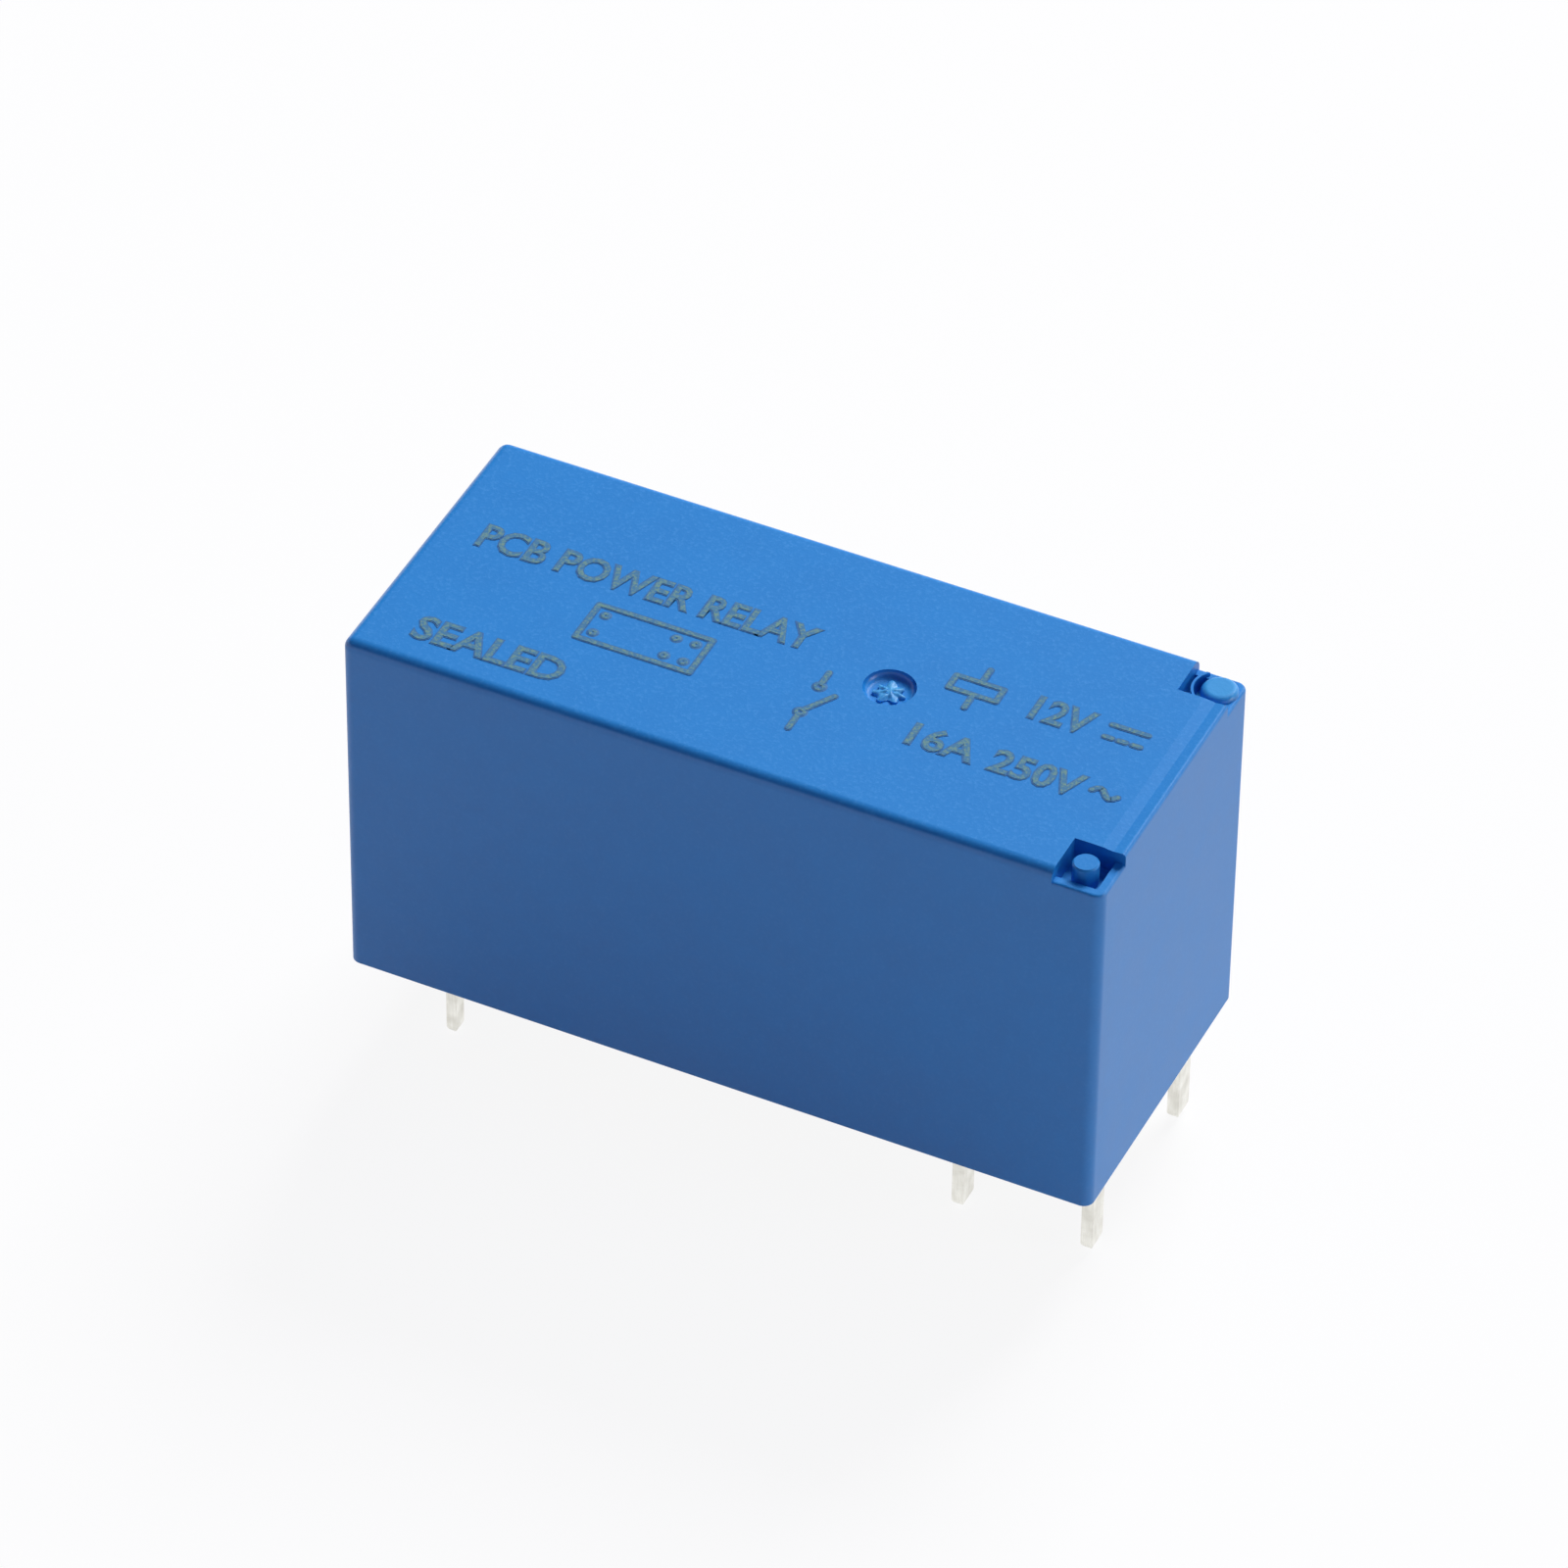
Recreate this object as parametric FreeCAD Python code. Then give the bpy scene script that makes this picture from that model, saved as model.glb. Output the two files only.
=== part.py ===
"""Miniature power relay for printed circuit boards, with one normally open contact.

The origin is the centre of the cover's footprint in the seating plane, which is
the flat lower rim of the cover. +Z points up from the board, +X runs from the
coil pins to the contact pins. The relay is drawn at rest, with the coil off.
All sizes are in millimetres and all angles in degrees.
"""
import FreeCAD, Part
import math
import os

V = FreeCAD.Vector

# Moulded cover
BODY_LENGTH = 29.0
BODY_WIDTH = 12.4
BODY_HEIGHT = 15.0
SIDE_WALL = 0.6
END_WALL = 0.5
TOP_WALL = 0.8
EDGE_RADIUS = 0.4
INNER_CORNER_RADIUS = 0.25
LEDGE_RUN = 0.9
LEDGE_SLOPE_RUN = 0.44
LEDGE_DROP = 0.055
LEDGE_LIP = 0.03
LEDGE_EDGE_RADIUS = 0.15
POCKET_LENGTH = 1.9
POCKET_WIDTH = 1.9
POCKET_DEPTH = 0.5
POCKET_WELL_DEPTH = 0.45
POCKET_RIM_WIDTH = 0.36
POCKET_RIM_RADIUS = 0.12
POCKET_BACKING = 0.5
NIB_DIAMETER = 0.95
NIB_BELOW_TOP = 0.04
NIB_EDGE = 0.06
NIB_FROM_END = 1.08
NIB_FROM_SIDE = 1.0
SEALED_VENT_DIAMETER = 1.36
SEALED_VENT_HEIGHT = 0.68
SEALED_VENT_EDGE = 0.24
SEALED_VENT_FROM_END = 0.75
SEALED_VENT_FROM_SIDE = 0.84
VENT_COLLAR_GAP = 0.25
VENT_COLLAR_WALL = 0.09
VENT_COLLAR_HEIGHT = 0.58
GATE_X = 3.63
GATE_DIAMETER = 1.9
GATE_DEPTH = 0.32
GATE_FLOOR_DIAMETER = 1.2
GATE_STUB_DIAMETER = 0.6
GATE_STUB_HEIGHT = 0.14
KEEPER_RIB_WIDTH = 0.4
KEEPER_RIB_SPREAD = 4.2
BARRIER_RIB_DEPTH = 0.5
BARRIER_RIB_WIDTH = 0.4

# Pin grid and pins
PIN_ROW_SPACING = 7.5
COMMON_TO_FIXED = 5.0
COIL_PIN_FROM_END = 2.95
FIXED_PIN_FROM_END = 0.89
PIN_LENGTH = 4.2
COIL_PIN_THICKNESS = 0.4
COIL_PIN_WIDTH = 0.6
COIL_TAIL_HEIGHT = 1.75
CONTACT_STRIP = 0.45
CONTACT_PIN_WIDTH = 0.9
PIN_TIP_TAPER = 0.55
PIN_TIP_SHARE = 0.3

# Base and potting resin
RESIN_RECESS = 0.35
RESIN_DEPTH = 0.55
BASE_PLATE = 1.2
BASE_FIT = 0.04
PIN_SLOT_FIT = 0.05
BARRIER_WALL = 0.7
BARRIER_GAP = 0.2
COMMON_SEAT_DEPTH = 0.585
SEAT_BLOCK_HEIGHT = 1.9
SEAT_BLOCK_DEPTH = 0.6
RAIL_WIDTH = 0.8

# Magnet system
POLE_FACE_FROM_PIN = 0.25
YOKE_THICKNESS = 1.3
YOKE_BEND_RADIUS = 0.4
YOKE_LIFT = 0.18
YOKE_ARM_BELOW_FLANGE = 1.65
SPRING_BOSS_RADIUS = 0.45
SPRING_BOSS_X_FROM_POLE = 3.0
CORE_SHARE_OF_WINDING = 0.425
CORE_RIVET_STEP = 0.5
CORE_FLARE = 0.3
CORE_FLARE_DEPTH = 0.4
POLE_HEAD_INSET = 1.1
POLE_HEAD_MARGIN = 0.2
POLE_HEAD_THICKNESS = 0.8
WINDING_EDGE = 0.25

# Bobbin
BOBBIN_TUBE_WALL = 0.55
BOBBIN_FLANGE_LIP = 0.25
POLE_FLANGE_THICKNESS = 0.9
YOKE_FLANGE_THICKNESS = 0.7
POLE_PROUD = 0.2
FLANGE_CORNER_RADIUS = 0.8
FOOT_CLEARANCE = 0.1
PIN_FOOT_INNER_MARGIN = 0.45
PIN_FOOT_OUTER_MARGIN = 0.95
REAR_FOOT_WIDTH = 0.95
PIN_FOOT_HEIGHT = 2.9
PIN_FOOT_REACH = 0.6
GUIDE_LUG_WIDTH = 0.65
LEAD_SLOT_MARGIN = 0.08

# Coil ends
LEAD_DIAMETER = 0.15
WRAP_TURNS = 5
WRAP_PITCH = 0.17
WRAP_BELOW_TIP = 0.53
WRAP_CLEARANCE = 0.02

# Armature and its hinge spring
ARMATURE_THICKNESS = 1.1
ARMATURE_INSET = 0.1
ARMATURE_STROKE = 6.0
ARMATURE_CORNER_RADIUS = 0.6
ARMATURE_BELOW_CARD = 0.5
TONGUE_WIDTH = 2.4
TONGUE_THICKNESS = 0.8
TONGUE_ABOVE_CARD = 0.25
HINGE_ABOVE_YOKE_FOOT = 0.2
SEAT_GAP = 0.03
HINGE_SPRING_STRIP = 0.12
HINGE_SPRING_WIDTH = 3.0
HINGE_SPRING_RISE = 2.2
HINGE_SPRING_FLARE = 0.45
HINGE_SPRING_TAIL = 4.0

# Pusher card
CARD_THICKNESS = 0.9
CARD_WIDTH = 5.2
CARD_LIFT = 0.25
CARD_HEADROOM = 0.92
CARD_PLAY = 0.04
CARD_END_BAR = 0.45
CARD_GUIDE_GAP = 0.15
CARD_RIB_WIDTH = 1.0
CARD_RIB_HEIGHT = 0.35
CARD_WAIST = 0.7
LEAF_SLOT = 0.65
KEEPER_GAP = 0.15

# Contact spring and contacts
LEAF_THICKNESS = 0.2
LEAF_SEAT_GAP = 0.01
LEAF_FOOT_WIDTH = 7.8
LEAF_FOOT_LIFT = 0.35
LEAF_WIDTH = 5.2
LEAF_SLOT_WIDTH = 1.2
LEAF_SLOT_BELOW_CONTACT = 0.73
LEAF_TIP_WIDTH = 2.2
LEAF_ABOVE_CARD = 0.3
COMMON_PLATE_HEIGHT = 2.45
RIVET_SHANK_RADIUS = 0.45
RIVET_HEAD_RADIUS = 0.8
RIVET_HEAD_THICKNESS = 0.3
RIVET_TAIL_RADIUS = 0.7
RIVET_TAIL_THICKNESS = 0.25
RIVET_SPREAD = 3.8
CONTACT_BELOW_CARD = 2.6
MOVING_HEAD_RADIUS = 1.5
MOVING_HEAD_THICKNESS = 0.7
MOVING_DOME_RADIUS = 5.0
MOVING_SHANK_RADIUS = 0.7
MOVING_TAIL_RADIUS = 1.1
MOVING_TAIL_THICKNESS = 0.3
CLOSED_CONTACT_GAP = 0.03
FIXED_HEAD_RADIUS = 1.6
FIXED_HEAD_THICKNESS = 0.7
FIXED_SHANK_RADIUS = 0.8
FIXED_TAIL_RADIUS = 1.15
FIXED_TAIL_THICKNESS = 0.3
FIXED_PLATE_WIDTH = 6.0
FIXED_PLATE_MARGIN = 0.3
FIXED_FOOT_HEIGHT = 2.2
FIXED_BEND_RADIUS = 0.35

# Places that follow from the sizes above
HALF_LENGTH = BODY_LENGTH / 2
HALF_WIDTH = BODY_WIDTH / 2
INNER_HALF_LENGTH = HALF_LENGTH - END_WALL
INNER_HALF_WIDTH = HALF_WIDTH - SIDE_WALL
INNER_TOP = BODY_HEIGHT - TOP_WALL
POCKET_FLOOR = BODY_HEIGHT - POCKET_DEPTH - POCKET_WELL_DEPTH
PIN_Y = PIN_ROW_SPACING / 2
COIL_PIN_X = -HALF_LENGTH + COIL_PIN_FROM_END
FIXED_X = HALF_LENGTH - FIXED_PIN_FROM_END
COMMON_X = FIXED_X - COMMON_TO_FIXED
BASE_UNDERSIDE = RESIN_RECESS + RESIN_DEPTH
BASE_TOP = BASE_UNDERSIDE + BASE_PLATE
YOKE_FOOT = BASE_TOP + YOKE_LIFT
YOKE_TOP = YOKE_FOOT + YOKE_THICKNESS
CARD_Z1 = INNER_TOP - CARD_HEADROOM
CARD_Z0 = CARD_Z1 - CARD_THICKNESS
FLANGE_FOOT = YOKE_TOP + PIN_SLOT_FIT
FLANGE_TOP = CARD_Z0 - CARD_LIFT
COIL_AXIS_Z = (FLANGE_FOOT + FLANGE_TOP) / 2
FLANGE_HALF_HEIGHT = (FLANGE_TOP - FLANGE_FOOT) / 2
WINDING_RADIUS = FLANGE_HALF_HEIGHT - BOBBIN_FLANGE_LIP
CORE_RADIUS = CORE_SHARE_OF_WINDING * WINDING_RADIUS
CORE_RIVET_RADIUS = CORE_RADIUS - CORE_RIVET_STEP
FOOT_INNER_Y = PIN_Y - PIN_FOOT_INNER_MARGIN
REAR_FOOT_OUTER_Y = FOOT_INNER_Y + REAR_FOOT_WIDTH
FLANGE_HALF_WIDTH = max(FLANGE_HALF_HEIGHT, REAR_FOOT_OUTER_Y)
YOKE_WIDTH = 2 * (FOOT_INNER_Y - FOOT_CLEARANCE)
ARMATURE_WIDTH = YOKE_WIDTH - 2 * ARMATURE_INSET
POLE_HEAD_RADIUS = min(WINDING_RADIUS - POLE_HEAD_INSET, ARMATURE_WIDTH / 2 - POLE_HEAD_MARGIN)
POLE_FACE_X = COIL_PIN_X + POLE_FACE_FROM_PIN
POLE_FLANGE_X0 = POLE_FACE_X + POLE_PROUD
POLE_FLANGE_X1 = POLE_FLANGE_X0 + POLE_FLANGE_THICKNESS
BARRIER_X1 = COMMON_X - CONTACT_STRIP / 2 - PIN_SLOT_FIT - COMMON_SEAT_DEPTH
BARRIER_X0 = BARRIER_X1 - BARRIER_WALL
YOKE_ARM_X1 = BARRIER_X0 - BARRIER_GAP
YOKE_ARM_X0 = YOKE_ARM_X1 - YOKE_THICKNESS
YOKE_FLANGE_X1 = YOKE_ARM_X0 - PIN_SLOT_FIT
YOKE_FLANGE_X0 = YOKE_FLANGE_X1 - YOKE_FLANGE_THICKNESS
COIL_TAIL_TOP = BASE_TOP + PIN_FOOT_HEIGHT + COIL_TAIL_HEIGHT
CARD_MID = (CARD_Z0 + CARD_Z1) / 2
HINGE_X = POLE_FACE_X - SEAT_GAP
HINGE_Z = YOKE_FOOT + HINGE_ABOVE_YOKE_FOOT
STROKE = math.radians(ARMATURE_STROKE)
CARD_ARM = CARD_MID - HINGE_Z
CARD_TRAVEL = CARD_ARM * STROKE
LEAF_X0 = COMMON_X + CONTACT_STRIP / 2 + LEAF_SEAT_GAP
LEAF_X1 = LEAF_X0 + LEAF_THICKNESS
LEAF_MID = (LEAF_X0 + LEAF_X1) / 2
COMMON_PLATE_TOP = BASE_TOP + COMMON_PLATE_HEIGHT
LEAF_PIVOT_Z = COMMON_PLATE_TOP + PIN_SLOT_FIT
LEAF_STROKE = CARD_TRAVEL / (CARD_MID - LEAF_PIVOT_Z)
CONTACT_Z = CARD_Z0 - CONTACT_BELOW_CARD


def closed_contact_reach():
    """Furthest +X that the domed contact reaches when the spring is fully over."""
    dome_centre = LEAF_X1 + MOVING_HEAD_THICKNESS - MOVING_DOME_RADIUS
    level = (dome_centre - LEAF_MID) * math.cos(LEAF_STROKE)
    swing = (CONTACT_Z - LEAF_PIVOT_Z) * math.sin(LEAF_STROKE)
    return LEAF_MID + level + swing + MOVING_DOME_RADIUS


FIXED_FACE_X = closed_contact_reach() + CLOSED_CONTACT_GAP
FIXED_PLATE_X = FIXED_FACE_X + FIXED_HEAD_THICKNESS + CONTACT_STRIP / 2
FIXED_PLATE_TOP = CONTACT_Z + FIXED_HEAD_RADIUS + FIXED_PLATE_MARGIN
BEYOND = 2.0


def block(x0, x1, y0, y1, z0, z1):
    """Rectangular block between two opposite corners."""
    return Part.makeBox(x1 - x0, y1 - y0, z1 - z0, V(x0, y0, z0))


def middle_block(x0, x1, width, z0, z1):
    """Block centred on the XZ plane."""
    return block(x0, x1, -width / 2, width / 2, z0, z1)


def side_block(side, x0, x1, near_y, far_y, z0, z1):
    """Block on one side of the XZ plane, between two distances from it."""
    low, high = sorted((side * near_y, side * far_y))
    return block(x0, x1, low, high, z0, z1)


def upright_edges(shape, test=lambda x, y: True):
    """Straight vertical edges whose plan position passes the test."""
    found = []
    for edge in shape.Edges:
        box = edge.BoundBox
        if box.XLength < 1e-6 and box.YLength < 1e-6 and box.ZLength > 1e-6:
            if test(box.Center.x, box.Center.y):
                found.append(edge)
    return found


def edges_at_height(shape, height, test=lambda x, y: True):
    """Edges that lie level at one height and whose middle passes the test."""
    found = []
    for edge in shape.Edges:
        box = edge.BoundBox
        if abs(box.ZMin - height) < 1e-6 and abs(box.ZMax - height) < 1e-6:
            middle = edge.valueAt((edge.FirstParameter + edge.LastParameter) / 2)
            if test(middle.x, middle.y):
                found.append(edge)
    return found


def cross_edges(shape, x, z, reach=0.02):
    """Straight edges along Y that pass near one point of the XZ plane."""
    found = []
    for edge in shape.Edges:
        box = edge.BoundBox
        if box.XLength < 1e-6 and box.ZLength < 1e-6 and box.YLength > 1e-6:
            if abs(box.XMin - x) < reach and abs(box.ZMin - z) < reach:
                found.append(edge)
    return found


def rounded_slab(half_x, half_y, radius, z0, z1):
    """Slab centred on the Z axis, with rounded upright edges."""
    slab = block(-half_x, half_x, -half_y, half_y, z0, z1)
    return slab.makeFillet(radius, upright_edges(slab))


def face_of(points):
    """Plane face inside a closed outline of straight edges."""
    return Part.Face(Part.makePolygon(points + [points[0]]))


def prism_along_x(outline, x0, x1):
    """Prism from an outline of (y, z) points."""
    return face_of([V(x0, y, z) for y, z in outline]).extrude(V(x1 - x0, 0, 0))


def prism_along_y(outline, width):
    """Prism from an outline of (x, z) points, centred on the XZ plane."""
    return face_of([V(x, -width / 2, z) for x, z in outline]).extrude(V(0, width, 0))


def turned_along_x(outline, y, z):
    """Solid turned about a line along X, from an outline of (x, radius) points."""
    face = face_of([V(x, y, z + radius) for x, radius in outline])
    return face.revolve(V(0, y, z), V(1, 0, 0), 360)


def rod_along_x(x0, x1, radius, y, z):
    """Round rod along X."""
    return Part.makeCylinder(radius, x1 - x0, V(x0, y, z), V(1, 0, 0))


def bent_strip(path, thickness, width, bend_radius):
    """Strip of even thickness that follows a path of (x, z) points with round bends."""
    half = thickness / 2
    normals = []
    for (ax, az), (bx, bz) in zip(path, path[1:]):
        run = math.hypot(bx - ax, bz - az)
        normals.append((-(bz - az) / run, (bx - ax) / run))
    joins = [normals[0]]
    for (ax, az), (bx, bz) in zip(normals, normals[1:]):
        share = 1 + ax * bx + az * bz
        joins.append(((ax + bx) / share, (az + bz) / share))
    joins.append(normals[-1])
    left = [(x + half * nx, z + half * nz) for (x, z), (nx, nz) in zip(path, joins)]
    right = [(x - half * nx, z - half * nz) for (x, z), (nx, nz) in zip(path, joins)]
    strip = prism_along_y(left + right[::-1], width)
    for index in range(1, len(path) - 1):
        (ax, az), (bx, bz) = normals[index - 1], normals[index]
        turns_left = ax * bz - az * bx > 0
        inner, outer = (left, right) if turns_left else (right, left)
        strip = strip.makeFillet(bend_radius, cross_edges(strip, *inner[index]))
        strip = strip.makeFillet(bend_radius + thickness, cross_edges(strip, *outer[index]))
    return strip


def tapered_pin(x, y, thickness, width, top):
    """Rectangular pin with a bullet-shaped tip, below the seating plane."""
    tip, shoulder = -PIN_LENGTH, -PIN_LENGTH + PIN_TIP_TAPER
    waist = shoulder - PIN_TIP_TAPER * math.sqrt(0.5)

    def outline(size, point):
        half, flat = size / 2, size * PIN_TIP_SHARE / 2
        bulge = flat + (half - flat) * math.sqrt(0.5)
        arcs = [
            Part.Arc(point(turn * half, shoulder), point(turn * bulge, waist), point(turn * flat, tip))
            for turn in (-1, 1)]
        lines = [
            (point(-half, shoulder), point(-half, top)), (point(-half, top), point(half, top)),
            (point(half, top), point(half, shoulder)), (point(flat, tip), point(-flat, tip))]
        edges = [arc.toShape() for arc in arcs] + [Part.makeLine(*ends) for ends in lines]
        return Part.Face(Part.Wire(Part.__sortEdges__(edges)))

    broad = outline(width, lambda across, z: V(x - thickness / 2, y + across, z))
    narrow = outline(thickness, lambda across, z: V(x + across, y - width / 2, z))
    return broad.extrude(V(thickness, 0, 0)).common(narrow.extrude(V(0, width, 0)))


def pocket_space(side, foot):
    """Upright block that clears one corner pocket, down to a height."""
    return side_block(
        side, HALF_LENGTH - POCKET_LENGTH, HALF_LENGTH + BEYOND,
        HALF_WIDTH - POCKET_WIDTH, HALF_WIDTH + BEYOND, foot, BODY_HEIGHT + BEYOND)


def pocket_well(side):
    """Deeper middle of one pocket, inside the rim that runs along the body's two faces."""
    return side_block(
        side, HALF_LENGTH - POCKET_LENGTH, HALF_LENGTH - POCKET_RIM_WIDTH,
        HALF_WIDTH - POCKET_WIDTH, HALF_WIDTH - POCKET_RIM_WIDTH,
        POCKET_FLOOR, BODY_HEIGHT + BEYOND)


def ledge_space():
    """Space above the end ledge: a slope from the panel, a shallow rise and a rounded edge."""
    width = BODY_WIDTH + BEYOND

    def point(x, z):
        return V(x, -width / 2, z)

    lip_x = HALF_LENGTH - LEDGE_EDGE_RADIUS
    lip_z = BODY_HEIGHT - LEDGE_DROP + LEDGE_LIP
    diagonal = LEDGE_EDGE_RADIUS * math.sqrt(0.5)
    shoulder = point(HALF_LENGTH - LEDGE_RUN, BODY_HEIGHT)
    valley = point(HALF_LENGTH - LEDGE_RUN + LEDGE_SLOPE_RUN, BODY_HEIGHT - LEDGE_DROP)
    lip = point(lip_x, lip_z)
    foot = point(HALF_LENGTH, lip_z - LEDGE_EDGE_RADIUS)
    middle = point(lip_x + diagonal, foot.z + diagonal)
    outside = [
        foot, point(HALF_LENGTH + BEYOND, foot.z), point(HALF_LENGTH + BEYOND, BODY_HEIGHT + BEYOND),
        point(shoulder.x, BODY_HEIGHT + BEYOND), shoulder, valley, lip,
    ]
    edges = [Part.makeLine(*ends) for ends in zip(outside, outside[1:])]
    edges.append(Part.Arc(lip, middle, foot).toShape())
    return Part.Face(Part.Wire(Part.__sortEdges__(edges))).extrude(V(0, width, 0))


def gate_cutter():
    """Shallow bowl that the moulding gate leaves in the top."""
    floor, rim = BODY_HEIGHT - GATE_DEPTH, BODY_HEIGHT
    inner, outer = GATE_FLOOR_DIAMETER / 2, GATE_DIAMETER / 2
    corner = V(GATE_X + inner, 0, floor)
    lip = V(GATE_X + outer, 0, rim)
    swell = V(GATE_X + inner + 0.75 * (outer - inner), 0, floor + 0.35 * GATE_DEPTH)
    edges = [
        Part.makeLine(V(GATE_X, 0, floor), corner),
        Part.Arc(corner, swell, lip).toShape(),
        Part.makeLine(lip, V(GATE_X + outer, 0, rim + BEYOND)),
        Part.makeLine(V(GATE_X + outer, 0, rim + BEYOND), V(GATE_X, 0, rim + BEYOND)),
        Part.makeLine(V(GATE_X, 0, rim + BEYOND), V(GATE_X, 0, floor)),
    ]
    return Part.Face(Part.Wire(edges)).revolve(V(GATE_X, 0, 0), V(0, 0, 1), 360)


def cover_outside():
    """Outside form of the cover as a solid: rounded block, end ledge, pockets and gate mark."""
    body = block(-HALF_LENGTH, HALF_LENGTH + BEYOND, -HALF_WIDTH, HALF_WIDTH, 0, BODY_HEIGHT)
    rounded = upright_edges(body, lambda x, y: x < 0)
    rounded += edges_at_height(body, BODY_HEIGHT, lambda x, y: x < HALF_LENGTH)
    body = body.makeFillet(EDGE_RADIUS, rounded)
    body = body.common(rounded_slab(HALF_LENGTH, HALF_WIDTH, EDGE_RADIUS, 0, BODY_HEIGHT))
    body = body.cut(ledge_space())
    rim_height = BODY_HEIGHT - POCKET_DEPTH
    lower = rounded_slab(HALF_LENGTH, HALF_WIDTH, EDGE_RADIUS, 0, rim_height)
    lower = lower.makeFillet(POCKET_RIM_RADIUS, edges_at_height(lower, rim_height))
    for side in (-1, 1):
        pocket = pocket_space(side, rim_height - POCKET_RIM_RADIUS)
        body = body.cut(pocket).fuse(lower.common(pocket))
    body = body.removeSplitter()
    for side in (-1, 1):
        body = body.cut(pocket_well(side))
    return body.cut(gate_cutter())


def vent_collar(x, y):
    """Low curved wall round the closed vent, on the side away from the end."""
    inner = SEALED_VENT_DIAMETER / 2 + VENT_COLLAR_GAP
    top = POCKET_FLOOR + VENT_COLLAR_HEIGHT
    foot = V(x, y, POCKET_FLOOR - POCKET_BACKING / 2)
    height = VENT_COLLAR_HEIGHT + POCKET_BACKING / 2
    ring = Part.makeCylinder(inner + VENT_COLLAR_WALL, height, foot)
    ring = ring.cut(Part.makeCylinder(inner, height, foot))
    shown = block(
        HALF_LENGTH - POCKET_LENGTH, x - inner / 2, HALF_WIDTH - POCKET_WIDTH,
        HALF_WIDTH - POCKET_RIM_WIDTH / 2, foot.z, top)
    return ring.common(shown)


def make_cover():
    """Moulded cover: a five-sided shell with ribs inside and pockets on its top corners."""
    cover = cover_outside()
    cavity = rounded_slab(
        INNER_HALF_LENGTH, INNER_HALF_WIDTH, INNER_CORNER_RADIUS, -BEYOND, INNER_TOP)
    for side in (-1, 1):
        cavity = cavity.cut(side_block(
            side, HALF_LENGTH - POCKET_LENGTH - POCKET_BACKING, HALF_LENGTH,
            HALF_WIDTH - POCKET_WIDTH - POCKET_BACKING, HALF_WIDTH,
            POCKET_FLOOR - POCKET_BACKING, BODY_HEIGHT))
    cover = cover.cut(cavity)
    for side in (-1, 1):
        keeper = side_block(
            side, POLE_FLANGE_X1, YOKE_FLANGE_X0,
            KEEPER_RIB_SPREAD / 2 - KEEPER_RIB_WIDTH / 2, KEEPER_RIB_SPREAD / 2 + KEEPER_RIB_WIDTH / 2,
            CARD_Z1 + KEEPER_GAP, INNER_TOP + TOP_WALL / 2)
        rib_x = BARRIER_X1 + BASE_FIT
        rib = side_block(
            side, rib_x, rib_x + BARRIER_RIB_WIDTH, INNER_HALF_WIDTH - BARRIER_RIB_DEPTH,
            INNER_HALF_WIDTH + SIDE_WALL / 2, BASE_TOP + BASE_FIT, INNER_TOP + TOP_WALL / 2)
        cover = cover.fuse(keeper).fuse(rib)
    nib_foot = V(HALF_LENGTH - NIB_FROM_END, NIB_FROM_SIDE - HALF_WIDTH, POCKET_FLOOR)
    nib_top = BODY_HEIGHT - NIB_BELOW_TOP
    nib = Part.makeCylinder(NIB_DIAMETER / 2, nib_top - POCKET_FLOOR, nib_foot)
    nib = nib.makeChamfer(NIB_EDGE, edges_at_height(nib, nib_top))
    vent_x = HALF_LENGTH - SEALED_VENT_FROM_END
    vent_y = HALF_WIDTH - SEALED_VENT_FROM_SIDE
    vent = Part.makeCylinder(SEALED_VENT_DIAMETER / 2, SEALED_VENT_HEIGHT, V(vent_x, vent_y, POCKET_FLOOR))
    vent = vent.makeFillet(SEALED_VENT_EDGE, edges_at_height(vent, POCKET_FLOOR + SEALED_VENT_HEIGHT))
    stub = Part.makeCone(
        GATE_STUB_DIAMETER / 2, GATE_STUB_DIAMETER / 4, GATE_STUB_HEIGHT,
        V(GATE_X, 0, BODY_HEIGHT - GATE_DEPTH))
    for piece in (nib, vent, vent_collar(vent_x, vent_y), stub):
        cover = cover.fuse(piece)
    return cover.removeSplitter()


def pin_holes(z0, z1, fit):
    """Upright holes at all six pins, wider than each pin by the fit on every side."""
    holes = []
    for side in (-1, 1):
        sizes = (
            (COIL_PIN_X, COIL_PIN_THICKNESS, COIL_PIN_WIDTH),
            (COMMON_X, CONTACT_STRIP, CONTACT_PIN_WIDTH),
            (FIXED_X, CONTACT_STRIP, CONTACT_PIN_WIDTH),
        )
        for x, thickness, width in sizes:
            half_x, half_y = thickness / 2 + fit, width / 2 + fit
            y = side * PIN_Y
            holes.append(block(x - half_x, x + half_x, y - half_y, y + half_y, z0, z1))
    return holes


def make_sealing_resin():
    """Potting resin that closes the underside around the pins."""
    resin = rounded_slab(
        INNER_HALF_LENGTH, INNER_HALF_WIDTH, INNER_CORNER_RADIUS, RESIN_RECESS, BASE_UNDERSIDE)
    for hole in pin_holes(RESIN_RECESS - BEYOND, BASE_UNDERSIDE + BEYOND, 0):
        resin = resin.cut(hole)
    return resin


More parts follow.
